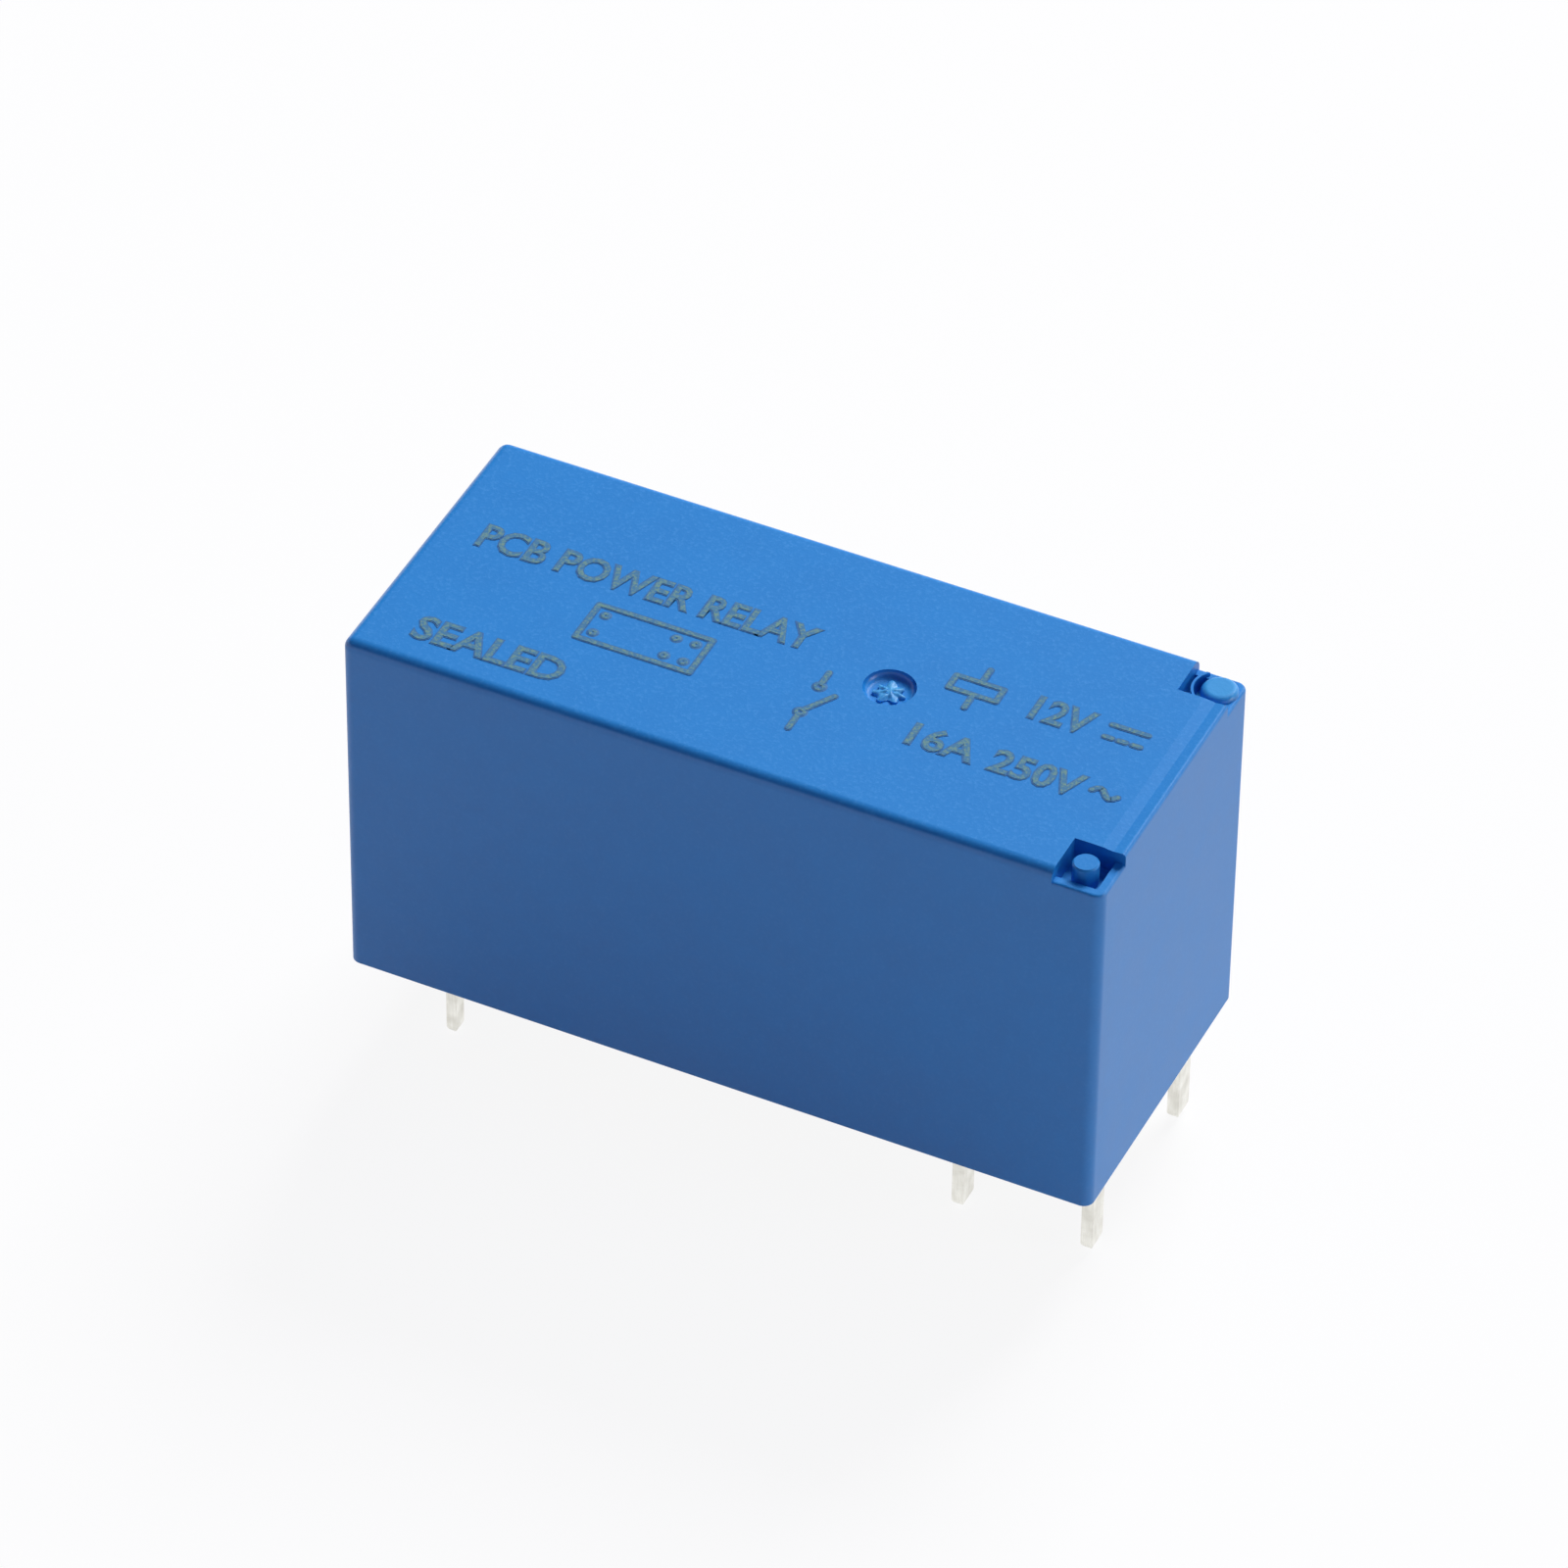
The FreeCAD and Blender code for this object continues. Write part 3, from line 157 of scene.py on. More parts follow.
def add_noise(
    tree: bpy.types.NodeTree,
    place: tuple[bpy.types.Node, str],
    grain_mm: float,
    detail: float,
    roughness: float = 0.5,
) -> bpy.types.Node:
    """Adds a noise pattern whose size is given in millimetres.

    Args:
        tree: the material's node tree.
        place: the node and the output that give the position.
        grain_mm: the size of its coarsest grain.
        detail: its number of finer layers.
        roughness: how strong those layers are.

    Returns:
        The noise node.
    """
    settings = {"Scale": 1 / (grain_mm * MM), "Detail": detail, "Roughness": roughness}
    return add_node(tree, "ShaderNodeTexNoise", settings, {"Vector": place})


def add_surface(
    tree: bpy.types.NodeTree,
    settings: dict[Any, Any],
    links: dict[Any, tuple[bpy.types.Node, Any]],
) -> None:
    """Adds the shader of a surface and the material's output.

    Args:
        tree: the material's node tree.
        settings: the shader's values that are the same everywhere.
        links: the nodes that feed its other sockets.
    """
    shader = add_node(tree, "ShaderNodeBsdfPrincipled", settings, links)
    add_node(tree, "ShaderNodeOutputMaterial", links={"Surface": (shader, "BSDF")})


@dataclass(frozen=True)
class MouldedPolyester:
    """Injection-moulded PBT.

    It gives an even, fairly dull colour. A face that the mould's spark-eroded side forms has a
    fine grain with pale flecks, a face drawn along the mould is smoother, and a rounded edge is
    smoother still.
    """

    name: str
    colour: str
    fleck: str
    shade: str
    roughness: float = 0.5
    drawn_roughness: float = 0.42
    grain_mm: float = 0.13
    grain_depth_mm: float = 0.006
    cloud_mm: float = 2.4
    drawn_share: float = 0.35
    fleck_share: float = 0.45
    unevenness: float = 0.1
    eroded_shine: float = 0.2
    drawn_shine: float = 0.55
    edge_roughness: float = 0.3
    edge_shine: float = 0.7

    def build(self) -> bpy.types.Material:
        """Builds the material.

        Returns:
            The finished material.
        """
        material, tree = new_material(self.name)
        place = add_node(tree, "ShaderNodeTexCoord")
        normal = add_node(tree, "ShaderNodeSeparateXYZ", links={"Vector": (place, "Normal")})
        upward = add_node(
            tree,
            "ShaderNodeMapRange",
            {"From Min": 0.2, "From Max": 0.9, "To Min": self.drawn_share, "To Max": 1.0},
            {"Value": (normal, "Z")},
        )
        grain = add_noise(tree, (place, "Object"), self.grain_mm, 2.5, 0.55)
        cloud = add_noise(tree, (place, "Object"), self.cloud_mm, 3.0, 0.6)
        clouded = add_node(
            tree,
            "ShaderNodeValToRGB",
            {"stops": [(0.3, linear(self.shade)), (0.68, linear(self.colour))]},
            {"Fac": (cloud, "Fac")},
        )
        speck = add_node(
            tree,
            "ShaderNodeMapRange",
            {"From Min": 0.5, "From Max": 0.78, "To Max": self.fleck_share},
            {"Value": (grain, "Fac")},
        )
        share = add_node(
            tree,
            "ShaderNodeMath",
            {"operation": "MULTIPLY"},
            {0: (speck, "Result"), 1: (upward, "Result")},
        )
        colour = add_node(
            tree,
            "ShaderNodeMix",
            {"data_type": "RGBA", 7: linear(self.fleck)},
            {0: (share, "Value"), 6: (clouded, "Color")},
        )
        evenness = add_node(
            tree,
            "ShaderNodeMapRange",
            {
                "From Min": self.drawn_share,
                "To Min": self.drawn_roughness - self.unevenness / 2,
                "To Max": self.roughness - self.unevenness / 2,
            },
            {"Value": (upward, "Result")},
        )
        gloss = add_node(
            tree,
            "ShaderNodeMath",
            {"operation": "MULTIPLY_ADD", 1: self.unevenness},
            {0: (cloud, "Fac"), 2: (evenness, "Result")},
        )
        bump = add_node(
            tree,
            "ShaderNodeBump",
            {"Distance": self.grain_depth_mm * MM},
            {"Height": (grain, "Fac"), "Strength": (upward, "Result")},
        )
        shine = add_node(
            tree,
            "ShaderNodeMapRange",
            {
                "From Min": self.drawn_share,
                "To Min": self.drawn_shine,
                "To Max": self.eroded_shine,
            },
            {"Value": (upward, "Result")},
        )
        stops = [(0.15, grey(0)), (0.4, grey(1)), (0.85, grey(1)), (0.97, grey(0))]
        rounded = add_node(tree, "ShaderNodeValToRGB", {"stops": stops}, {"Fac": (normal, "Z")})
        edge_shine = add_node(
            tree,
            "ShaderNodeMix",
            {"data_type": "FLOAT", 3: self.edge_shine},
            {0: (rounded, "Color"), 2: (shine, "Result")},
        )
        edge_gloss = add_node(
            tree,
            "ShaderNodeMix",
            {"data_type": "FLOAT", 3: self.edge_roughness},
            {0: (rounded, "Color"), 2: (gloss, "Value")},
        )
        links = {
            "Base Color": (colour, 2),
            "Roughness": (edge_gloss, 0),
            "Specular IOR Level": (edge_shine, 0),
            "Normal": (bump, "Normal"),
        }
        add_surface(tree, {"IOR": 1.5}, links)
        return material


@dataclass(frozen=True)
class CastEpoxy:
    """Potting resin, poured and cured.

    It is dark and glossy, with a slightly wavy skin and a few fine bubbles.
    """

    name: str = "cast_epoxy"
    colour: str = "#1B1C1F"
    pale: str = "#2A2B2E"
    wave_mm: float = 2.2
    wave_depth_mm: float = 0.05
    bubble_mm: float = 0.28
    bubble_depth_mm: float = 0.01

    def build(self) -> bpy.types.Material:
        """Builds the material.

        Returns:
            The finished material.
        """
        material, tree = new_material(self.name)
        place = add_node(tree, "ShaderNodeTexCoord")
        wave = add_noise(tree, (place, "Object"), self.wave_mm, 2.0)
        cells = add_node(
            tree,
            "ShaderNodeTexVoronoi",
            {"Scale": 1 / (self.bubble_mm * MM)},
            {"Vector": (place, "Object")},
        )
        pits = add_node(
            tree,
            "ShaderNodeMapRange",
            {"From Max": 0.14},
            {"Value": (cells, "Distance")},
        )
        colour = add_node(
            tree,
            "ShaderNodeValToRGB",
            {"stops": [(0.35, linear(self.colour)), (0.7, linear(self.pale))]},
            {"Fac": (wave, "Fac")},
        )
        swell = add_node(
            tree,
            "ShaderNodeBump",
            {"Distance": self.wave_depth_mm * MM, "Strength": 0.8},
            {"Height": (wave, "Fac")},
        )
        bump = add_node(
            tree,
            "ShaderNodeBump",
            {"Distance": self.bubble_depth_mm * MM, "Strength": 0.6},
            {"Height": (pits, "Result"), "Normal": (swell, "Normal")},
        )
        links = {"Base Color": (colour, "Color"), "Normal": (bump, "Normal")}
        add_surface(tree, {"IOR": 1.55, "Roughness": 0.22}, links)
        return material


@dataclass(frozen=True)
class Metal:
    """A metal piece: stamped strip, drawn wire or a headed rivet.

    Its grain runs along the strip, and handling leaves the gloss a little uneven.
    """

    name: str
    colour: str
    shade: str
    roughness: float
    face: Face = Face.EVEN
    grain_mm: float = 0.06
    cloud_mm: float = 0.7
    grain_depth_mm: float = 0.002

    def build(self) -> bpy.types.Material:
        """Builds the material.

        Returns:
            The finished material.
        """
        material, tree = new_material(self.name)
        place = add_node(tree, "ShaderNodeTexCoord")
        drawn = add_node(
            tree,
            "ShaderNodeMapping",
            {"vector_type": "POINT", "Scale": self.face.value},
            {"Vector": (place, "Object")},
        )
        grain = add_noise(tree, (drawn, "Vector"), self.grain_mm, 2.0)
        cloud = add_noise(tree, (place, "Object"), self.cloud_mm, 3.0)
        blend = add_node(
            tree,
            "ShaderNodeMath",
            {"operation": "MULTIPLY_ADD", 1: 0.45, 2: 0.28},
            {0: (grain, "Fac")},
        )
        mixed = add_node(
            tree,
            "ShaderNodeMath",
            {"operation": "MULTIPLY"},
            {0: (blend, "Value"), 1: (cloud, "Fac")},
        )
        colour = add_node(
            tree,
            "ShaderNodeValToRGB",
            {"stops": [(0.14, linear(self.shade)), (0.34, linear(self.colour))]},
            {"Fac": (mixed, "Value")},
        )
        gloss = add_node(
            tree,
            "ShaderNodeMapRange",
            {
                "From Min": 0.1,
                "From Max": 0.4,
                "To Min": self.roughness + 0.1,
                "To Max": self.roughness - 0.08,
            },
            {"Value": (mixed, "Value")},
        )
        bump = add_node(
            tree,
            "ShaderNodeBump",
            {"Distance": self.grain_depth_mm * MM, "Strength": 0.7},
            {"Height": (grain, "Fac")},
        )
        links = {
            "Base Color": (colour, "Color"),
            "Roughness": (gloss, "Result"),
            "Normal": (bump, "Normal"),
        }
        add_surface(tree, {"Metallic": 1.0}, links)
        return material


@dataclass(frozen=True)
class EnamelledCopper:
    """Copper wire under a thin clear enamel, which gives a warm red and a crisp highlight."""

    name: str = "enamelled_copper"
    colour: str = "#B4562A"
    shade: str = "#8A3A1B"
    cloud_mm: float = 1.6

    def build(self) -> bpy.types.Material:
        """Builds the material.

        Returns:
            The finished material.
        """
        material, tree = new_material(self.name)
        place = add_node(tree, "ShaderNodeTexCoord")
        cloud = add_noise(tree, (place, "Object"), self.cloud_mm, 4.0)
        colour = add_node(
            tree,
            "ShaderNodeValToRGB",
            {"stops": [(0.35, linear(self.shade)), (0.65, linear(self.colour))]},
            {"Fac": (cloud, "Fac")},
        )
        settings = {"Metallic": 0.85, "Roughness": 0.32, "Coat Weight": 0.6, "Coat Roughness": 0.12}
        add_surface(tree, settings, {"Base Color": (colour, "Color")})
        return material


@dataclass(frozen=True)
class LaserMark:
    """Polyester that a laser has foamed: a dull, greenish, broken tone, with a scorched edge."""

    name: str
    colour: str
    shade: str
    spot_mm: float
    spot_depth_mm: float = 0.006

    def build(self) -> bpy.types.Material:
        """Builds the material.

        Returns:
            The finished material.
        """
        material, tree = new_material(self.name)
        place = add_node(tree, "ShaderNodeTexCoord")
        spots = add_noise(tree, (place, "Object"), self.spot_mm, 2.0, 0.6)
        colour = add_node(
            tree,
            "ShaderNodeValToRGB",
            {"stops": [(0.42, linear(self.shade)), (0.7, linear(self.colour))]},
            {"Fac": (spots, "Fac")},
        )
        bump = add_node(
            tree,
            "ShaderNodeBump",
            {"Distance": self.spot_depth_mm * MM, "Strength": 0.8},
            {"Height": (spots, "Fac")},
        )
        links = {"Base Color": (colour, "Color"), "Normal": (bump, "Normal")}
        add_surface(tree, {"IOR": 1.5, "Roughness": 0.75}, links)
        return material


COVER_PLASTIC = MouldedPolyester("moulded_blue_polyester", "#1E8AD8", "#4AA2E8", "#1886D4", 0.58)
TORN_PLASTIC = MouldedPolyester(
    "torn_blue_polyester",
    "#4CAEE8",
    "#78CBF8",
    "#3A92D6",
    roughness=0.38,
    drawn_roughness=0.36,
    grain_mm=0.09,
    grain_depth_mm=0.012,
    cloud_mm=0.4,
)
BASE_PLASTIC = MouldedPolyester("moulded_black_polyester", "#1E1F22", "#33353A", "#17181A", 0.45)
BOBBIN_PLASTIC = MouldedPolyester("moulded_natural_polyester", "#DDD8C8", "#EDE9DC", "#D0CAB8", 0.5)
CARD_PLASTIC = MouldedPolyester("moulded_white_polyester", "#E7E4DA", "#F2F0E8", "#DCD8CC", 0.5)
RESIN = CastEpoxy()
TINNED_PIN = Metal("tinned_copper_strip", "#F7F6EF", "#DFDDD4", 0.32, Face.ALONG_Z)
SOFT_IRON = Metal("plated_soft_iron", "#B9B8B2", "#9A9993", 0.34, Face.ALONG_X)
SPRING_STEEL = Metal("rolled_spring_steel", "#A9ABAE", "#8B8D90", 0.26, Face.ALONG_Z)
COPPER_STRIP = Metal("rolled_copper_alloy", "#C98A5C", "#A86A41", 0.3, Face.ALONG_Z)
RIVET_COPPER = Metal("headed_copper", "#B9714A", "#975636", 0.34)
SILVER = Metal("headed_silver_alloy", "#E2DFD8", "#C4C1BA", 0.27)
ENAMEL = EnamelledCopper()
MARK = LaserMark("laser_foamed_mark", "#729C8B", "#387BA6", 0.12)
MARK_EDGE = LaserMark("laser_scorched_edge", "#3E80B4", "#2B6CA8", 0.13)


def clear_selection() -> None:
    """Deselects everything, because an operator acts on all that is selected."""
    bpy.ops.object.select_all(action="DESELECT")


def activate(piece: bpy.types.Object) -> None:
    """Selects one object alone and makes it active.

    Args:
        piece: the object.
    """
    clear_selection()
    piece.select_set(True)
    bpy.context.view_layer.objects.active = piece


def settle(piece: bpy.types.Object, name: str) -> bpy.types.Object:
    """Moves an object's place into its mesh and names both.

    Args:
        piece: a mesh object.
        name: the piece's name.

    Returns:
        The same object, at the origin.
    """
    activate(piece)
    bpy.ops.object.transform_apply(location=True, rotation=True, scale=True)
    piece.name = name
    piece.data.name = name
    return piece


def join(pieces: list[bpy.types.Object], name: str) -> bpy.types.Object:
    """Joins several mesh objects into one.

    Args:
        pieces: the objects, each with its own mesh.
        name: the joined piece's name.

    Returns:
        The joined object, at the origin.
    """
    clear_selection()
    for piece in pieces:
        piece.select_set(True)
    bpy.context.view_layer.objects.active = pieces[0]
    bpy.ops.object.transform_apply(location=True, rotation=True, scale=True)
    if len(pieces) > 1:
        bpy.ops.object.join()
    return settle(bpy.context.view_layer.objects.active, name)


def dress(piece: bpy.types.Object, material: bpy.types.Material) -> None:
    """Gives a piece one material all over.

    Args:
        piece: a mesh object.
        material: its finish.
    """
    piece.data.materials.clear()
    piece.data.materials.append(material)


def smooth(piece: bpy.types.Object, angle_deg: float) -> None:
    """Shades a new piece smooth, with sharp edges past an angle.

    Args:
        piece: a mesh object.
        angle_deg: the angle between faces from which an edge stays sharp.
    """
    activate(piece)
    bpy.ops.object.shade_smooth_by_angle(angle=math.radians(angle_deg))


def open_with(piece: bpy.types.Object, kind: str, wanted: Callable[[Any], bool]) -> None:
    """Opens a piece in edit mode with only some of its faces or edges selected.

    Args:
        piece: a mesh object.
        kind: FACE or EDGE.
        wanted: tells for one face or edge whether it is to be selected.
    """
    activate(piece)
    bpy.ops.object.mode_set(mode="EDIT")
    bpy.ops.mesh.select_mode(type=kind)
    bpy.ops.mesh.select_all(action="DESELECT")
    bpy.ops.object.mode_set(mode="OBJECT")
    for part in piece.data.polygons if kind == "FACE" else piece.data.edges:
        part.select = wanted(part)
    bpy.ops.object.mode_set(mode="EDIT")


def round_upright_edges(piece: bpy.types.Object, radius: float, segments: int) -> None:
    """Rounds a block's four upright edges.

    Args:
        piece: the block, with its size in its mesh.
        radius: their radius, in metres.
        segments: the number of faces round each.
    """
    heights = [vertex.co.z for vertex in piece.data.vertices]
    half = (max(heights) - min(heights)) / 2

    def upright(edge: bpy.types.MeshEdge) -> bool:
        """Tells whether an edge runs up the block."""
        return abs(heights[edge.vertices[0]] - heights[edge.vertices[1]]) > half

    open_with(piece, "EDGE", upright)
    bpy.ops.mesh.bevel(offset=radius, segments=segments)
    bpy.ops.object.mode_set(mode="OBJECT")


@dataclass
class Cover:
    """The blue cover: one moulding with pockets, nib, closed vent and gate mark.

    The gate's torn stub is too rough for the solid, so it is modelled here. The vent was melted
    shut. Its dome gets a painted highlight: a paler blue mixed into the cover's colour.
    """

    gate_x_mm: float = 3.63
    stub_foot_mm: float = 14.66
    stub_radius_mm: float = 0.5
    stub_rise_mm: float = 0.17
    stub_rings: int = 4
    lobes: int = 7
    lobe_depth: float = 0.17
    lobe_unevenness: float = 0.1
    vent_mm: tuple[float, float, float] = (13.75, 5.36, 14.73)
    vent_radius_mm: float = 0.68
    # The painted highlight on the vent's dome: its paler blue and how much of it is mixed in.
    vent_highlight_colour: str = "#40A7E5"
    vent_highlight_share: float = 0.7

    def build(self, nodes: dict[str, bpy.types.Object]) -> None:
        """Dresses the cover and adds the gate's stub.

        Args:
            nodes: the frame's nodes by name.
        """
        material = COVER_PLASTIC.build()
        # painted highlight: a paler blue over the vent's dome
        self.paint_vent_highlight(material)
        dress(nodes["cover"], material)
        stub = self.gate_stub()
        dress(stub, TORN_PLASTIC.build())
        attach(stub, "housing")

    def paint_vent_highlight(self, material: bpy.types.Material) -> None:
        """Paints a highlight over the vent's dome: a paler blue mixed into the cover's colour.

        Args:
            material: the cover's finish.
        """
        tree = material.node_tree
        shader = tree.nodes["Principled BSDF"]
        colour = shader.inputs["Base Color"].links[0].from_node
        place = add_node(tree, "ShaderNodeTexCoord")
        reach = add_node(
            tree,
            "ShaderNodeVectorMath",
            {"operation": "DISTANCE", 1: Vector(self.vent_mm) * MM},
            {0: (place, "Object")},
        )
        dome = add_node(
            tree,
            "ShaderNodeMapRange",
            {
                "From Min": self.vent_radius_mm * MM * 0.8,
                "From Max": self.vent_radius_mm * MM * 1.1,
                "To Min": self.vent_highlight_share,
                "To Max": 0.0,
            },
            {"Value": (reach, "Value")},
        )
        # painted highlight: mixes the paler blue into the colour over the dome
        paler = add_node(
            tree,
            "ShaderNodeMix",
            {"data_type": "RGBA", 7: linear(self.vent_highlight_colour)},
            {0: (dome, "Result"), 6: (colour, 2)},
        )
        tree.links.new(paler.outputs[2], shader.inputs["Base Color"])

    def gate_stub(self) -> bpy.types.Object:
        """Models the plastic that stays where the moulding gate broke off.

        Returns:
            The star-shaped stub.
        """
        radius = self.stub_radius_mm * MM
        rise = self.stub_rise_mm * MM
        foot = self.stub_foot_mm * MM
        centre = self.gate_x_mm * MM
        clear_selection()
        bpy.ops.mesh.primitive_cylinder_add(
            vertices=8 * self.lobes,
            radius=radius,
            depth=rise,
            location=(centre, 0, foot + rise / 2),
        )
        stub = settle(bpy.context.object, "gate_stub")
        top = foot + rise - 1e-6
        open_with(stub, "FACE", lambda face: face.center.z > top)
        for _ in range(self.stub_rings):
            bpy.ops.mesh.inset(thickness=radius / (self.stub_rings + 1), depth=0)
        bpy.ops.object.mode_set(mode="OBJECT")
        for vertex in stub.data.vertices:
            reach = Vector((vertex.co.x - centre, vertex.co.y))
            share = reach.length / radius
            turn = math.atan2(reach.y, reach.x)
            wave = math.cos(self.lobes * turn + 0.8 * math.sin(2 * turn))
            uneven = self.lobe_unevenness * math.cos(3 * turn + 1)
            spread = 1 + (self.lobe_depth * wave + uneven) * share
            vertex.co.x = centre + reach.x * spread
            vertex.co.y = reach.y * spread
            if vertex.co.z > top:
                ripple = 0.5 * wave * share + 0.4 * math.cos(3 * turn + 9 * share)
                vertex.co.z += rise * (0.35 * ripple - 0.5 * share ** 2)
        smooth(stub, angle_deg=50)
        return stub


@dataclass(frozen=True)
class Layer:
    """One layer of every mark: the foamed core, or the wider and lower scorched edge."""

    name: str
    finish: LaserMark
    wider_mm: float
    rise_mm: float


@dataclass(frozen=True)
class Wording:
    """One line of letters: its text, its left end and foot, its length and its height."""

    text: str
    left_mm: float
    low_mm: float
    width_mm: float
    height_mm: float


@dataclass
class Marking:
    """Generic markings, laser-foamed into the top of the cover.

    Each mark is a raised core on a slightly wider, lower scorched edge. Lines that cross stand a
    hair apart in height, so that no two faces lie in one plane.
    """

    top_mm: float = 15.0
    sunk_share: float = 0.3
    crossing_mm: float = 0.004
    line_mm: float = 0.18
    bolder_mm: float = 0.025
    layers: tuple[Layer, ...] = (
        Layer("cover_marking", MARK, 0.0, 0.03),
        Layer("cover_marking_edge", MARK_EDGE, 0.05, 0.015),
    )
    wordings: tuple[Wording, ...] = (
        Wording("PCB POWER RELAY", -12.7, 0.45, 13.0, 1.25),
        Wording("SEALED", -12.5, -4.95, 5.7, 1.25),
        Wording("12V", 8.55, 0.65, 2.2, 1.25),
        Wording("16A", 5.3, -2.45, 2.5, 1.2),
        Wording("250V", 8.4, -2.45, 3.35, 1.2),
    )

    def build(self) -> None:
        """Builds all marks, each layer as one piece."""
        for layer in self.layers:
            pieces = [self.lettering(wording, layer) for wording in self.wordings]
            pieces += self.coil_symbol(layer)
            pieces += self.contact_symbol(layer)
            pieces += self.supply_signs(layer)
            pieces += self.pin_diagram(layer)
            marks = join(pieces, layer.name)
            dress(marks, layer.finish.build())
            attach(marks, "housing")

    def lettering(self, wording: Wording, layer: Layer) -> bpy.types.Object:
        """Makes one line of letters as a thin solid.

        Args:
            wording: the letters, with their place and size.
            layer: the layer that they belong to.

        Returns:
            The letters, placed on the cover.
        """
        clear_selection()
        bpy.ops.object.text_add()
        line = bpy.context.object
        line.data.body = wording.text
        line.data.size = 1.0
        line.data.resolution_u = 3
        bpy.context.view_layer.update()
        type_height = line.dimensions.y
        line.data.extrude = 0.5
        line.data.offset = (self.bolder_mm + layer.wider_mm) * type_height / wording.height_mm
        bpy.ops.object.convert(target="MESH")
        line = bpy.context.object
        along = [vertex.co.x for vertex in line.data.vertices]
        across = [vertex.co.y for vertex in line.data.vertices]
        spread = layer.wider_mm
        scale_x = (wording.width_mm + 2 * spread) / (max(along) - min(along)) * MM
        scale_y = (wording.height_mm + 2 * spread) / (max(across) - min(across)) * MM
        height, middle = self.stack(layer)
        line.scale = (scale_x, scale_y, height)
        line.location = (
            (wording.left_mm - spread) * MM - min(along) * scale_x,
            (wording.low_mm - spread) * MM - min(across) * scale_y,
            middle,
        )
        return settle(line, "letters")

    def stack(self, layer: Layer, lift_mm: float = 0.0) -> tuple[float, float]:
        """Works out how a mark stands in the cover's top.

        Args:
            layer: the mark's layer.
            lift_mm: how much higher it stands than the layer.

        Returns:
            The height of the whole mark and of its middle, in metres. Part of it is sunk.
        """
        rise = (layer.rise_mm + lift_mm) * MM
        return rise * (1 + self.sunk_share), self.top_mm * MM + rise * (1 - self.sunk_share) / 2

    def stroke(
        self,
        start: tuple[float, float],
        end: tuple[float, float],
        layer: Layer,
        lift_mm: float = 0.0,
    ) -> bpy.types.Object:
        """Makes one straight line with rounded ends.

        Args:
            start: the middle of its first end, in mm.
            end: the middle of its second end, in mm.
            layer: the layer that it belongs to.
            lift_mm: how much higher it stands, where it crosses another line.

        Returns:
            The line, placed on the cover.
        """
        run = Vector(end) - Vector(start)
        middle = (Vector(start) + Vector(end)) / 2 * MM
        width = self.line_mm + 2 * layer.wider_mm
        height, level = self.stack(layer, lift_mm)
        clear_selection()
        bpy.ops.mesh.primitive_cube_add(size=1)
        line = bpy.context.object
        line.scale = ((run.length + width) * MM, width * MM, height)
        activate(line)
        bpy.ops.object.transform_apply(location=False, rotation=False, scale=True)
        round_upright_edges(line, width * 0.49 * MM, segments=3)
        line.rotation_euler = (0, 0, math.atan2(run.y, run.x))
        line.location = (middle.x, middle.y, level)
        return settle(line, "stroke")

    def ring(
        self, centre: tuple[float, float], radius_mm: float, layer: Layer, lift_mm: float = 0.0
    ) -> bpy.types.Object:
        """Makes one small circle.

        Args:
            centre: its centre, in mm.
            radius_mm: the radius of its middle line.
            layer: the layer that it belongs to.
            lift_mm: how much higher it stands, where it crosses a line.

        Returns:
            The circle, placed on the cover.
        """
        clear_selection()
        half_mm = self.line_mm / 2 + layer.wider_mm
        bpy.ops.mesh.primitive_torus_add(
            major_segments=20,
            minor_segments=6,
            major_radius=radius_mm * MM,
            minor_radius=half_mm * MM,
            location=(centre[0] * MM, centre[1] * MM, self.top_mm * MM),
        )
        circle = bpy.context.object
        circle.scale = (1, 1, (layer.rise_mm + lift_mm) / half_mm)
        return settle(circle, "ring")

    def box(
        self, left: float, right: float, low: float, high: float, layer: Layer
    ) -> list[bpy.types.Object]:
        """Draws a rectangle.

        Args:
            left: its left side, in mm.
            right: its right side.
            low: its lower side.
            high: its upper side.
            layer: the layer that it belongs to.

        Returns:
            The four strokes.
        """
        return [
            self.stroke((left, low), (right, low), layer),
            self.stroke((left, high), (right, high), layer),
            self.stroke((left, low), (left, high), layer, self.crossing_mm),
            self.stroke((right, low), (right, high), layer, self.crossing_mm),
        ]

    def coil_symbol(self, layer: Layer) -> list[bpy.types.Object]:
        """Draws the coil: a narrow box with a lead at each long side.

        Args:
            layer: the layer that it belongs to.

        Returns:
            The strokes.
        """
        low, high, middle = 0.9, 1.6, 6.4
        return self.box(5.45, 7.25, low, high, layer) + [
            self.stroke((middle, high), (middle, 2.35), layer, self.crossing_mm),
            self.stroke((middle, low), (middle, 0.15), layer, self.crossing_mm),
        ]

    def contact_symbol(self, layer: Layer) -> list[bpy.types.Object]:
        """Draws the open contact.

        Args:
            layer: the layer that it belongs to.

        Returns:
            The strokes and circles.
        """
        dot = 0.15
        return [
            self.stroke((1.45, -0.25), (1.45, -0.9), layer),
            self.ring((1.45, -1.06), dot, layer, self.crossing_mm),
            self.ring((1.42, -2.55), dot, layer, self.crossing_mm),
            self.stroke((1.48, -2.4), (2.15, -1.3), layer),
            self.stroke((1.42, -2.7), (1.42, -3.5), layer),
        ]

